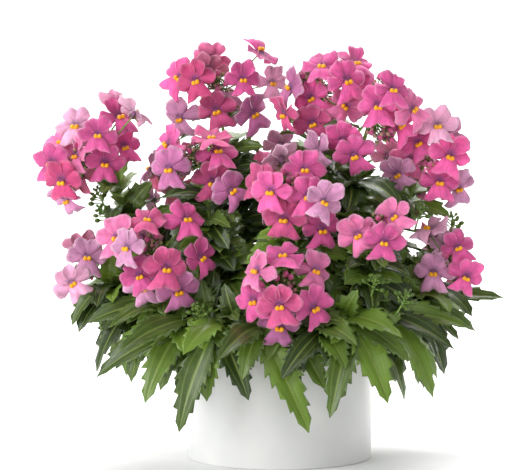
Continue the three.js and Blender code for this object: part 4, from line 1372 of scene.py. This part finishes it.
def finish_material(material, tree, skin, glow=0.0):
    """Ends a material in its skin, and in light that shines through it where it glows."""
    surface = add_node(tree, "ShaderNodeBsdfPrincipled", skin)
    if glow:
        through = add_node(tree, "ShaderNodeBsdfTranslucent", {"Color": skin["Base Color"]})
        surface = add_node(tree, "ShaderNodeMixShader", {0: glow, 1: surface, 2: through})
    add_node(tree, "ShaderNodeOutputMaterial", {"Surface": surface}, None)
    return material


def petal_material(colours):
    """Living petal: thin, velvety and a little see-through, veined from a violet throat to a paler rim."""
    material, tree = new_material("fresh petal, velvety")
    where = add_node(tree, "ShaderNodeTexCoord", gives="Object")
    tone, place, zone = (
        add_node(tree, "ShaderNodeAttribute", gives="Vector", attribute_name=name) for name in PETAL_MARKS
    )
    uvs = add_node(tree, "ShaderNodeSeparateXYZ", {"Vector": place}, None)
    zones = add_node(tree, "ShaderNodeSeparateXYZ", {"Vector": zone}, None)
    # Veins run out from the throat, 0.8 mm apart, which is coarser than in life so that they show
    flat = add_node(tree, "ShaderNodeCombineXYZ", {"X": uvs["X"], "Y": uvs["Y"], "Z": zones["Z"]})
    stretched = add_node(tree, "ShaderNodeMapping", {"Vector": flat, "Scale": (7.0, 1.1, 37.0)})
    streaks = add_node(tree, "ShaderNodeTexNoise", {"Vector": stretched, "Scale": 1.6, "Detail": 3.0}, "Fac")
    streak = add_node(tree, "ShaderNodeMapRange", {"Value": streaks, "From Min": 0.42, "From Max": 0.62})
    # Broad soft patches, 6 mm across, where a petal is fresher or more faded
    patches = add_node(tree, "ShaderNodeTexNoise", {"Vector": where, "Scale": 160.0, "Detail": 2.0}, "Fac")
    patch = add_node(
        tree, "ShaderNodeMapRange",
        {"Value": patches, "From Min": 0.3, "From Max": 0.7, "To Min": 0.8, "To Max": 1.18})
    tint = add_node(tree, "ShaderNodeVectorMath", {0: tone, 1: patch}, "Vector", operation="MULTIPLY")
    veined = add_node(tree, "ShaderNodeMath", {0: streak, 1: 0.22}, operation="MULTIPLY")
    dark = add_node(
        tree, "ShaderNodeMix", {0: veined, 6: tint, 7: linear(colours.vein)}, 2, data_type="RGBA")
    # The rim of an older bloom fades to near white
    rim = add_node(
        tree, "ShaderNodeMapRange", {"Value": uvs["Y"], "From Min": 0.8, "From Max": 1.0, "To Max": 0.6})
    old = add_node(tree, "ShaderNodeMath", {0: zones["Y"], 1: 0.8, 2: 0.22}, operation="MULTIPLY_ADD")
    faded = add_node(tree, "ShaderNodeMath", {0: rim, 1: old}, operation="MULTIPLY")
    rimmed = add_node(
        tree, "ShaderNodeMix", {0: faded, 6: dark, 7: linear(colours.rim)}, 2, data_type="RGBA")
    # Each lobe deepens towards the throat, least in an old bloom
    low = add_node(
        tree, "ShaderNodeMapRange",
        {"Value": uvs["Y"], "From Min": 0.1, "From Max": 0.66, "To Min": 0.58, "To Max": 0.0})
    fresh = add_node(tree, "ShaderNodeMath", {0: zones["Y"], 1: -0.65, 2: 1.0}, operation="MULTIPLY_ADD")
    fresher = add_node(tree, "ShaderNodeMath", {0: fresh, 1: zones["X"]}, operation="MULTIPLY")
    deepens = add_node(tree, "ShaderNodeMath", {0: low, 1: fresher}, operation="MULTIPLY")
    deep = add_node(
        tree, "ShaderNodeMix", {0: deepens, 6: rimmed, 7: linear(colours.vein)}, 2, data_type="RGBA")
    # The throat's violet blotch breaks up into the veins
    near = add_node(
        tree, "ShaderNodeMapRange",
        {"Value": uvs["Y"], "From Min": 0.04, "From Max": 0.3, "To Min": 0.8, "To Max": 0.0})
    broken = add_node(tree, "ShaderNodeMath", {0: streak, 1: 0.75, 2: 0.35}, operation="MULTIPLY_ADD")
    blotch = add_node(tree, "ShaderNodeMath", {0: near, 1: broken}, operation="MULTIPLY")
    mouth = add_node(tree, "ShaderNodeMath", {0: blotch, 1: zones["X"]}, operation="MULTIPLY", use_clamp=True)
    throated = add_node(
        tree, "ShaderNodeMix", {0: mouth, 6: deep, 7: linear(colours.throat)}, 2, data_type="RGBA")
    # The back of a petal is paler
    behind = add_node(tree, "ShaderNodeMath", {0: uvs["Z"], 1: 0.3}, operation="MULTIPLY")
    backed = add_node(
        tree, "ShaderNodeMix", {0: behind, 6: throated, 7: linear(colours.rim)}, 2, data_type="RGBA")
    relief = add_node(tree, "ShaderNodeBump", {"Height": streaks, "Strength": 0.35, "Distance": 0.0004})
    skin = {
        "Base Color": backed, "Roughness": 0.58, "IOR": 1.42, "Sheen Weight": 0.25,
        "Sheen Roughness": 0.45, "Specular IOR Level": 0.35, "Normal": relief,
    }
    return finish_material(material, tree, skin, 0.22)


def palate_material(colours):
    """Palate: waxy yellow-orange pads with fine down, so soft highlights and a deeper orange in patches."""
    material, tree = new_material("waxy palate, downy")
    where = add_node(tree, "ShaderNodeTexCoord", gives="Object")
    # Patches 1.5 mm across
    patches = add_node(tree, "ShaderNodeTexNoise", {"Vector": where, "Scale": 650.0, "Detail": 2.0}, "Fac")
    share = add_node(tree, "ShaderNodeMapRange", {"Value": patches, "From Min": 0.38, "From Max": 0.66})
    pale, deep = linear(colours.palate), linear(colours.palate_deep)
    colour = add_node(tree, "ShaderNodeMix", {0: share, 6: pale, 7: deep}, 2, data_type="RGBA")
    # Down, 0.4 mm apart, which is coarser than in life so that it shows
    down = add_node(tree, "ShaderNodeTexNoise", {"Vector": where, "Scale": 2600.0, "Detail": 1.0}, "Fac")
    relief = add_node(tree, "ShaderNodeBump", {"Height": down, "Strength": 0.3, "Distance": 0.0002})
    skin = {"Base Color": colour, "Roughness": 0.45, "IOR": 1.45, "Normal": relief}
    return finish_material(material, tree, skin)


def leaf_material(colours):
    """Living leaf: waxed and satin above, with pale sunken veins and a puckered surface, duller below."""
    material, tree = new_material("waxed leaf, net-veined")
    where = add_node(tree, "ShaderNodeTexCoord", gives="Object")
    place, age = (
        add_node(tree, "ShaderNodeAttribute", gives="Vector", attribute_name=name) for name in LEAF_MARKS
    )
    uvs = add_node(tree, "ShaderNodeSeparateXYZ", {"Vector": place}, None)
    ages = add_node(tree, "ShaderNodeSeparateXYZ", {"Vector": age}, None)
    # Patches 12 mm across, and a net of small veins 1.4 mm apart, coarser than in life so that it shows
    patches = add_node(tree, "ShaderNodeTexNoise", {"Vector": where, "Scale": 85.0, "Detail": 3.0}, "Fac")
    net = add_node(
        tree, "ShaderNodeTexVoronoi", {"Vector": where, "Scale": 700.0}, "Distance",
        feature="DISTANCE_TO_EDGE")
    # The leaves go from dark to light green with their age mark. The inner leaves get a low mark, so their
    # dark green is painted shade inside the plant as well as age
    young = add_node(tree, "ShaderNodeMath", {0: patches, 1: 0.55, 2: -0.27}, operation="MULTIPLY_ADD")
    mixed = add_node(tree, "ShaderNodeMath", {0: ages["X"], 1: young}, operation="ADD", use_clamp=True)
    dark, light = linear(colours.leaf_dark), linear(colours.leaf_light)
    green = add_node(tree, "ShaderNodeMix", {0: mixed, 6: dark, 7: light}, 2, data_type="RGBA")
    # The midrib and one long vein to each side of it
    middle = add_node(tree, "ShaderNodeMath", {0: uvs["X"]}, operation="ABSOLUTE")
    offside = add_node(tree, "ShaderNodeMath", {0: middle, 1: 0.5}, operation="SUBTRACT")
    side = add_node(tree, "ShaderNodeMath", {0: offside}, operation="ABSOLUTE")
    rib, vein, fine = (
        add_node(
            tree, "ShaderNodeMapRange",
            {"Value": off, "From Min": start, "From Max": end, "To Min": share, "To Max": 0.0})
        for off, start, end, share in (
            (middle, 0.02, 0.12, 0.62), (side, 0.01, 0.08, 0.24), (net, 0.0, 0.12, 0.09),
        )
    )
    ribs = add_node(tree, "ShaderNodeMath", {0: rib, 1: vein}, operation="MAXIMUM")
    lines = add_node(tree, "ShaderNodeMath", {0: ribs, 1: fine}, operation="MAXIMUM")
    veined = add_node(
        tree, "ShaderNodeMix", {0: lines, 6: green, 7: linear(colours.leaf_vein)}, 2, data_type="RGBA")
    behind = add_node(tree, "ShaderNodeMath", {0: uvs["Z"], 1: 0.45}, operation="MULTIPLY")
    backed = add_node(
        tree, "ShaderNodeMix", {0: behind, 6: veined, 7: linear(colours.leaf_back)}, 2, data_type="RGBA")
    pucker = add_node(tree, "ShaderNodeMath", {0: net, 1: 0.5, 2: patches}, operation="MULTIPLY_ADD")
    relief = add_node(tree, "ShaderNodeBump", {"Height": pucker, "Strength": 0.6, "Distance": 0.0009})
    skin = {
        "Base Color": backed, "Roughness": 0.38, "IOR": 1.45, "Coat Weight": 0.32,
        "Coat Roughness": 0.25, "Normal": relief,
    }
    return finish_material(material, tree, skin, 0.16)


def stem_material(name, pale, dark):
    """Stem or spur: smooth or papery skin, streaked lengthwise, so long soft highlights. On the stems the
    pale and dark streaks are the stem's lit and shaded tones: painted highlight and painted shade.
    """
    material, tree = new_material(name)
    where = add_node(tree, "ShaderNodeTexCoord", gives="Object")
    # Streaks 1 mm wide and some 8 mm long. On a stem the pale streaks are painted highlight and the dark ones
    # painted shade
    long = add_node(tree, "ShaderNodeMapping", {"Vector": where, "Scale": (900.0, 900.0, 120.0)})
    streaks = add_node(tree, "ShaderNodeTexNoise", {"Vector": long, "Scale": 1.0, "Detail": 2.0}, "Fac")
    share = add_node(tree, "ShaderNodeMapRange", {"Value": streaks, "From Min": 0.35, "From Max": 0.65})
    colour = add_node(
        tree, "ShaderNodeMix", {0: share, 6: linear(dark), 7: linear(pale)}, 2, data_type="RGBA")
    relief = add_node(tree, "ShaderNodeBump", {"Height": streaks, "Strength": 0.25, "Distance": 0.0002})
    skin = {"Base Color": colour, "Roughness": 0.45, "IOR": 1.45, "Normal": relief}
    return finish_material(material, tree, skin)


def glaze_material(colours):
    """Glazed stoneware: a smooth white satin glaze, faintly uneven where it ran, with a soft reflection."""
    material, tree = new_material("white glazed stoneware")
    where = add_node(tree, "ShaderNodeTexCoord", gives="Object")
    # The glaze varies over about 25 mm, and its surface ripples over 4 mm
    runs = add_node(tree, "ShaderNodeTexNoise", {"Vector": where, "Scale": 40.0, "Detail": 2.0}, "Fac")
    ripple = add_node(tree, "ShaderNodeTexNoise", {"Vector": where, "Scale": 250.0, "Detail": 1.0}, "Fac")
    share = add_node(tree, "ShaderNodeMapRange", {"Value": runs, "From Min": 0.3, "From Max": 0.7})
    thick, thin = linear(colours.glaze), linear(colours.glaze_thin)
    colour = add_node(tree, "ShaderNodeMix", {0: share, 6: thick, 7: thin}, 2, data_type="RGBA")
    gloss = add_node(
        tree, "ShaderNodeMapRange",
        {"Value": ripple, "From Min": 0.3, "From Max": 0.7, "To Min": 0.3, "To Max": 0.38})
    relief = add_node(tree, "ShaderNodeBump", {"Height": ripple, "Strength": 0.06, "Distance": 0.0004})
    skin = {"Base Color": colour, "Roughness": gloss, "IOR": 1.5, "Normal": relief}
    return finish_material(material, tree, skin)


def soil_material(colours):
    """Potting soil: damp crumbs of peat and bark, matt, from near black to brown."""
    material, tree = new_material("damp potting soil, crumbly")
    where = add_node(tree, "ShaderNodeTexCoord", gives="Object")
    # Crumbs 1 to 3 mm across
    crumbs = add_node(
        tree, "ShaderNodeTexNoise", {"Vector": where, "Scale": 450.0, "Detail": 5.0, "Roughness": 0.7}, "Fac")
    share = add_node(tree, "ShaderNodeMapRange", {"Value": crumbs, "From Min": 0.35, "From Max": 0.7})
    damp, dry = linear(colours.soil_damp), linear(colours.soil)
    colour = add_node(tree, "ShaderNodeMix", {0: share, 6: damp, 7: dry}, 2, data_type="RGBA")
    relief = add_node(tree, "ShaderNodeBump", {"Height": crumbs, "Strength": 0.8, "Distance": 0.0015})
    skin = {"Base Color": colour, "Roughness": 0.92, "IOR": 1.4, "Normal": relief}
    return finish_material(material, tree, skin)


def paper_material(colours):
    """Seamless studio paper: matt and even, so it shows only the plant's soft shadow."""
    material, tree = new_material("seamless studio paper")
    return finish_material(material, tree, {"Base Color": linear(colours.paper), "Roughness": 0.9})


def material_named(name, maker, *arguments):
    """A material made once and used by every piece that asks for it."""
    key = "nemesia_" + name
    for material in bpy.data.materials:
        if material.get("nemesia_key") == key:
            return material
    material = maker(*arguments)
    material["nemesia_key"] = key
    return material


# Sizes and colours that a user would change

class NemesiaSizes(bpy.types.PropertyGroup):
    petal_thickness: bpy.props.FloatProperty(
        name="Petal thickness", description="Thickness of each petal", default=0.35 * MM, unit="LENGTH")
    leaf_thickness: bpy.props.FloatProperty(
        name="Leaf thickness", description="Thickness of a leaf at its midrib", default=0.6 * MM,
        unit="LENGTH")
    rim_rounding: bpy.props.FloatProperty(
        name="Rim rounding", description="Radius of the pot's rounded edges", default=1.2 * MM, unit="LENGTH")
    crumbs: bpy.props.IntProperty(
        name="Soil crumbs", description="Loose crumbs that lie on the soil", default=260, min=0)


def hex_property(name, description, default):
    return bpy.props.StringProperty(name=name, description=description + ", as sRGB hex", default=default)


class NemesiaColours(bpy.types.PropertyGroup):
    hot: hex_property("Fresh pink", "Petals of a newly open bloom", "#e162a3")
    rose: hex_property("Rose", "Petals a few days old", "#e57fb0")
    pale: hex_property("Pale pink", "Petals of the oldest blooms", "#e8b0ce")
    lilac: hex_property("Lilac", "Petals that have faded towards lilac", "#d699c0")
    crimson: hex_property("Crimson", "Petals of the deepest blooms", "#c9497b")
    deep: hex_property("Deep pink", "Petals of the darker blooms", "#d15a8c")
    mauve: hex_property("Mauve", "Petals that have turned purplish", "#c576a8")
    bud: hex_property("Young bud", "Buds before they colour", "#9aa860")
    vein: hex_property("Petal veins", "Fine veins of the petals", "#8a2a62")
    rim: hex_property("Petal rim", "Rim and back of an older petal", "#f0d3e0")
    throat: hex_property("Throat", "The violet blotch round the throat", "#6d5688")
    palate: hex_property("Palate", "The two raised pads at the throat", "#f9bb14")
    palate_deep: hex_property("Palate, deep", "Orange patches of the pads", "#ee9012")
    # The old leaf's dark green is also painted shade, on the leaves inside the plant
    leaf_dark: hex_property("Old leaf", "Leaves low on the plant", "#263c11")
    leaf_light: hex_property("Young leaf", "Leaves near the tips", "#6f902d")
    leaf_vein: hex_property("Leaf veins", "Midrib and veins", "#a0b35c")
    leaf_back: hex_property("Leaf underside", "Underside of the leaves", "#8b9d55")
    # A stem's pale colour is its lit tone and its dark colour its shaded tone; the stem material mixes them
    # into streaks of painted highlight and painted shade
    stem_pale: hex_property("Stem, lit side", "Pale streaks of the stems", "#8fae55")
    stem_dark: hex_property("Stem, shaded side", "Dark streaks of the stems", "#55792f")
    spur: hex_property("Spur", "The thin spur behind each bloom", "#b99a6c")
    spur_dark: hex_property("Spur, dark", "Dark streaks of the spur", "#8c7a45")
    glaze: hex_property("Glaze", "The pot's white glaze", "#e3e3e1")
    glaze_thin: hex_property("Thin glaze", "The glaze where it ran thin", "#dcdddd")
    soil: hex_property("Soil", "Dry crumbs of the soil", "#4a3626")
    soil_damp: hex_property("Damp soil", "Damp parts of the soil", "#1d140d")
    paper: hex_property("Studio paper", "The floor under the pot", "#f6f6f6")


# Operators, one for each kind of piece

PETAL_TONES = ("hot", "rose", "pale", "lilac", "crimson", "deep", "mauve", "bud")

# The pot's wall and floor, and how finely it is turned
POT_WALL = 4
POT_FLOOR = 5
FLOOR_FILLET = 2
POT_SIDES = 144
ROUND_STEPS = 4

# The soil's rings and sides, how far it is heaped and how large its crumbs are
SOIL_RINGS = 26
SOIL_SIDES = 72
SOIL_SINK = 1.4
SOIL_DOME = 3.2
CRUMB_SINK = 1.3
CRUMB_SIZE = (0.7, 1.3)
CRUMB_INSET = 3
AXIS_RADIUS = 0.01

# The leaves of each plant part draw their chances from counters this far apart
PART_SEEDS = 100
SHOOT_SEEDS = 5000
SHOOT_STEM_SEEDS = 40


def chosen(context):
    """The sizes and the colours that are set in the scene."""
    return context.scene.nemesia_sizes, context.scene.nemesia_colours


def tone_palette(colours):
    return {name: np.array(linear(getattr(colours, name))[:3]) for name in PETAL_TONES}


def petal_materials(colours):
    return [
        material_named("petal", petal_material, colours),
        material_named("palate", palate_material, colours),
    ]


def green_materials(colours):
    return [
        material_named("leaf", leaf_material, colours),
        material_named("stem", stem_material, "sappy green stem", colours.stem_pale, colours.stem_dark),
        material_named("spur", stem_material, "dry papery spur", colours.spur, colours.spur_dark),
    ]


class NEMESIA_OT_pot(bpy.types.Operator):
    """Turns the pot with rounded edges and a flat foot"""
    bl_idname = "nemesia.pot"
    bl_label = "Pot"

    def execute(self, context):
        sizes, colours = chosen(context)
        r, h, edge = POT_RADIUS, POT_HEIGHT, sizes.rim_rounding / MM
        inside = r - POT_WALL
        quarter = [math.pi / 2 * i / ROUND_STEPS for i in range(ROUND_STEPS + 1)]
        profile = [(AXIS_RADIUS, 0)]
        profile += [(r - edge + edge * math.sin(a), edge - edge * math.cos(a)) for a in quarter]
        profile += [(r, h * i / 4) for i in (1, 2, 3)]
        profile += [(r - edge + edge * math.cos(a), h - edge + edge * math.sin(a)) for a in quarter]
        profile += [(inside + edge - edge * math.sin(a), h - edge + edge * math.cos(a)) for a in quarter]
        profile += [(inside, h * 0.6), (inside, POT_FLOOR + FLOOR_FILLET)]
        profile += [(inside - FLOOR_FILLET, POT_FLOOR), (AXIS_RADIUS, POT_FLOOR)]
        piece = Piece()
        piece.add(turned_rings(profile, POT_SIDES), tube_faces(len(profile), POT_SIDES))
        piece.make("glazed_pot", [material_named("glaze", glaze_material, colours)], "glazed_white", "pot")
        return {"FINISHED"}


class NEMESIA_OT_soil(bpy.types.Operator):
    """Fills the pot with soil, lumpy on top and scattered with loose crumbs"""
    bl_idname = "nemesia.soil"
    bl_label = "Soil"

    def execute(self, context):
        sizes, colours = chosen(context)
        a = circle(SOIL_SIDES)
        low, top = float(SOIL_LOW[2]), float(SOIL_HIGH[2])
        under = [(AXIS_RADIUS, low), (SOIL_RADIUS, low), (SOIL_RADIUS, (low + top) / 2)]
        rings = turned_rings(under, SOIL_SIDES)
        for i in range(SOIL_RINGS):
            r = SOIL_RADIUS * (1 - i / SOIL_RINGS)
            lumps = (
                0.5 * np.sin(0.31 * r * np.cos(a) + 1.1) * np.sin(0.37 * r * np.sin(a))
                + 0.45 * np.sin(0.83 * r * np.cos(a + 0.6)) * np.cos(0.71 * r * np.sin(a - 0.4))
                + 0.3 * np.sin(1.9 * r * np.cos(a + 1.9)) * np.cos(1.7 * r * np.sin(a + 0.8))
            )
            dome = top - SOIL_SINK - SOIL_DOME * (r / SOIL_RADIUS) ** 2
            rings.append(np.stack([r * np.cos(a), r * np.sin(a), dome + lumps], axis=-1))
        rings += turned_rings([(AXIS_RADIUS, top - SOIL_SINK)], SOIL_SIDES)
        piece = Piece()
        piece.add(rings, tube_faces(len(rings), SOIL_SIDES))
        for i in range(sizes.crumbs):
            r = (SOIL_RADIUS - CRUMB_INSET) * math.sqrt(chance(i, 71))
            turn = 2 * math.pi * chance(i, 72)
            size = between(CRUMB_SIZE, chance(i, 73) ** 2)
            squash = vec(1, 0.6 + 0.4 * chance(i, 74), 0.5 + 0.4 * chance(i, 75))
            rough = 1 + 0.25 * np.sin(5 * BALL_POINTS[:, 0] + i) * np.cos(4 * BALL_POINTS[:, 1] + 2 * i)
            z = top - CRUMB_SINK - SOIL_DOME * (r / SOIL_RADIUS) ** 2
            at = vec(r * math.cos(turn), r * math.sin(turn), z)
            piece.add(at + BALL_POINTS * rough[:, None] * squash * size, BALL_FACES)
        piece.make("potting_soil", [material_named("soil", soil_material, colours)], "potting_soil", "soil")
        return {"FINISHED"}


class NEMESIA_OT_stems(bpy.types.Operator):
    """Grows each flowering stem with its large and small toothed leaves"""
    bl_idname = "nemesia.stems"
    bl_label = "Leafy stems"

    def execute(self, context):
        sizes, colours = chosen(context)
        for h, head in enumerate(PLANT_HEADS):
            piece = add_leafy_stem(head, STEM_RADIUS, h, PART_SEEDS * h, sizes)
            for k, (base, tip) in enumerate(head["sprays"]):
                add_spray(piece, base, tip, PART_SEEDS * h + k)
            name, node = "stem_and_leaves_" + head["name"], "leafy_stem_" + head["name"]
            piece.make(name, green_materials(colours), "leaf_green", node)
        return {"FINISHED"}


class NEMESIA_OT_shoots(bpy.types.Operator):
    """Hangs the short leafy shoots over the pot's rim"""
    bl_idname = "nemesia.shoots"
    bl_label = "Rim shoots"

    def execute(self, context):
        sizes, colours = chosen(context)
        for i, shoot in enumerate(PLANT_SHOOTS):
            seed = SHOOT_SEEDS + PART_SEEDS * i
            piece = add_leafy_stem(shoot, SHOOT_RADIUS, SHOOT_STEM_SEEDS + i, seed, sizes)
            piece.make(f"shoot_and_leaves_{i + 1}", green_materials(colours), "leaf_green", shoot["name"])
        return {"FINISHED"}


class NEMESIA_OT_blooms(bpy.types.Operator):
    """Opens the blooms of each head, with their buds, calyces and stalks"""
    bl_idname = "nemesia.blooms"
    bl_label = "Flower heads"

    def execute(self, context):
        sizes, colours = chosen(context)
        palette = tone_palette(colours)
        for h, head in enumerate(PLANT_HEADS):
            petals, green = Piece(PETAL_MARKS), Piece(LEAF_MARKS)
            for i, b in enumerate(head["kept"]):
                add_bloom(petals, green, b, 10 * h + i, sizes, palette)
            add_tuft(petals, green, head, h, palette)
            core, low, lean = vec(head["middle"]), head["end"], head["lean"]
            line = [low, low + lean * CORE_STRAIGHT, core, core + lean * CORE_PAST]
            add_stalk(green, line, CORE_RADII, CORE_SIDES)
            node = "flower_head_" + head["name"]
            petals.make("petals_" + head["name"], petal_materials(colours), "petal_pink", node)
            green.make("calyces_" + head["name"], green_materials(colours), "leaf_green", node)
        return {"FINISHED"}


# The stage

# Each lamp: its name, place, what it lights, size in metres and power in watts
LAMPS = [
    ("key", (-1.85, -1.35, 1.15), (0, 0, 0.15), 1.8, 54.0),
    ("front", (0.1, -2.2, 1.3), (0, 0, 0.18), 1.2, 8.0),
    ("edge", (1.5, 0.7, 0.4), (0, 0, 0.12), 0.5, 5.0),
    ("back", (0.4, 1.2, 1.4), (0, 0, 0.15), 0.8, 6.0),
    ("backdrop", (0, 1.6, 2.6), (0, 3.4, 0.2), 2.5, 180.0),
]
ROOM_LIGHT = 0.26
EXPOSURE = 0.14

# The camera's place in metres, its drop below level in degrees, and its lens, sensor and reach
CAMERA_PLACE = (-0.0176, -1.55, 0.237)
CAMERA_DROP = 3.4
CAMERA_LENS = 170
CAMERA_SENSOR = 36
CAMERA_REACH = 30

# The paper in metres: half its width, where it starts and bends, the bend's radius and steps, and
# its height
PAPER_HALF = 9.0
PAPER_FRONT = -9.0
PAPER_BEND = 3.0
PAPER_RADIUS = 1.2
PAPER_STEPS = 12
PAPER_HIGH = 5.0


def studio_paper(material):
    """The paper: a floor that curves up into a wall far behind the plant."""
    radius = PAPER_RADIUS
    arc = [math.pi / 2 * i / PAPER_STEPS for i in range(PAPER_STEPS + 1)]
    line = [(PAPER_FRONT, 0)]
    line += [(PAPER_BEND + radius * math.sin(a), radius - radius * math.cos(a)) for a in arc]
    line.append((PAPER_BEND + radius, PAPER_HIGH))
    points = [(x, y, z) for y, z in line for x in (-PAPER_HALF, PAPER_HALF)]
    faces = [(2 * i, 2 * i + 1, 2 * i + 3, 2 * i + 2) for i in range(len(line) - 1)]
    mesh = bpy.data.meshes.new("floor")
    mesh.from_pydata(points, [], faces)
    mesh.polygons.foreach_set("use_smooth", [True] * len(faces))
    mesh.materials.append(material)
    return bpy.data.objects.new("floor", mesh)


def aimed(place, target):
    """The rotation that turns a lamp at a place towards a target."""
    away = unit(place - target)
    return (math.acos(away[2]), 0, math.atan2(away[1], away[0]) + math.pi / 2)


class NEMESIA_OT_stage(bpy.types.Operator):
    """Sets the pale floor, the soft lights and the camera"""
    bl_idname = "nemesia.stage"
    bl_label = "Stage"

    def execute(self, context):
        scene = context.scene
        floor = studio_paper(material_named("paper", paper_material, scene.nemesia_colours))
        scene.collection.objects.link(floor)
        for name, place, aim, size, power in LAMPS:
            data = bpy.data.lights.new(name, "AREA")
            data.size = size
            data.energy = power
            lamp = bpy.data.objects.new(name, data)
            lamp.location = place
            lamp.rotation_euler = aimed(np.array(place), np.array(aim))
            scene.collection.objects.link(lamp)
        world = bpy.data.worlds.new("studio")
        world.use_nodes = True
        world.node_tree.nodes.clear()
        sky = add_node(
            world.node_tree, "ShaderNodeBackground", {"Color": (1, 1, 1, 1), "Strength": ROOM_LIGHT})
        add_node(world.node_tree, "ShaderNodeOutputWorld", {"Surface": sky}, None)
        scene.world = world
        scene.view_settings.view_transform = "Standard"
        scene.view_settings.exposure = EXPOSURE
        camera_data = bpy.data.cameras.new("camera")
        camera_data.sensor_fit = "HORIZONTAL"
        camera_data.sensor_width = CAMERA_SENSOR
        camera_data.lens = CAMERA_LENS
        camera_data.clip_end = CAMERA_REACH
        camera = bpy.data.objects.new("camera", camera_data)
        camera.location = CAMERA_PLACE
        camera.rotation_euler = (math.radians(90 - CAMERA_DROP), 0, 0)
        scene.collection.objects.link(camera)
        scene.camera = camera
        return {"FINISHED"}


class NEMESIA_PT_panel(bpy.types.Panel):
    """Lists the plant's pieces, sizes and colours"""
    bl_idname = "NEMESIA_PT_panel"
    bl_label = "Potted nemesia"
    bl_space_type = "VIEW_3D"
    bl_region_type = "UI"
    bl_category = "Nemesia"

    def draw(self, context):
        for operator in OPERATORS:
            self.layout.operator(operator.bl_idname)
        for group in (context.scene.nemesia_sizes, context.scene.nemesia_colours):
            for name in group.bl_rna.properties.keys():
                if name not in ("rna_type", "name"):
                    self.layout.prop(group, name)


OPERATORS = (
    NEMESIA_OT_pot, NEMESIA_OT_soil, NEMESIA_OT_stems, NEMESIA_OT_shoots, NEMESIA_OT_blooms, NEMESIA_OT_stage,
)
CLASSES = (NemesiaSizes, NemesiaColours, *OPERATORS, NEMESIA_PT_panel)


def register():
    for cls in CLASSES:
        bpy.utils.register_class(cls)
    bpy.types.Scene.nemesia_sizes = bpy.props.PointerProperty(type=NemesiaSizes)
    bpy.types.Scene.nemesia_colours = bpy.props.PointerProperty(type=NemesiaColours)


def unregister():
    del bpy.types.Scene.nemesia_sizes
    del bpy.types.Scene.nemesia_colours
    for cls in reversed(CLASSES):
        bpy.utils.unregister_class(cls)


def main():
    register()
    bpy.ops.nemesia.pot()
    bpy.ops.nemesia.soil()
    bpy.ops.nemesia.stems()
    bpy.ops.nemesia.shoots()
    bpy.ops.nemesia.blooms()
    bpy.ops.nemesia.stage()


if __name__ == "__main__":
    main()
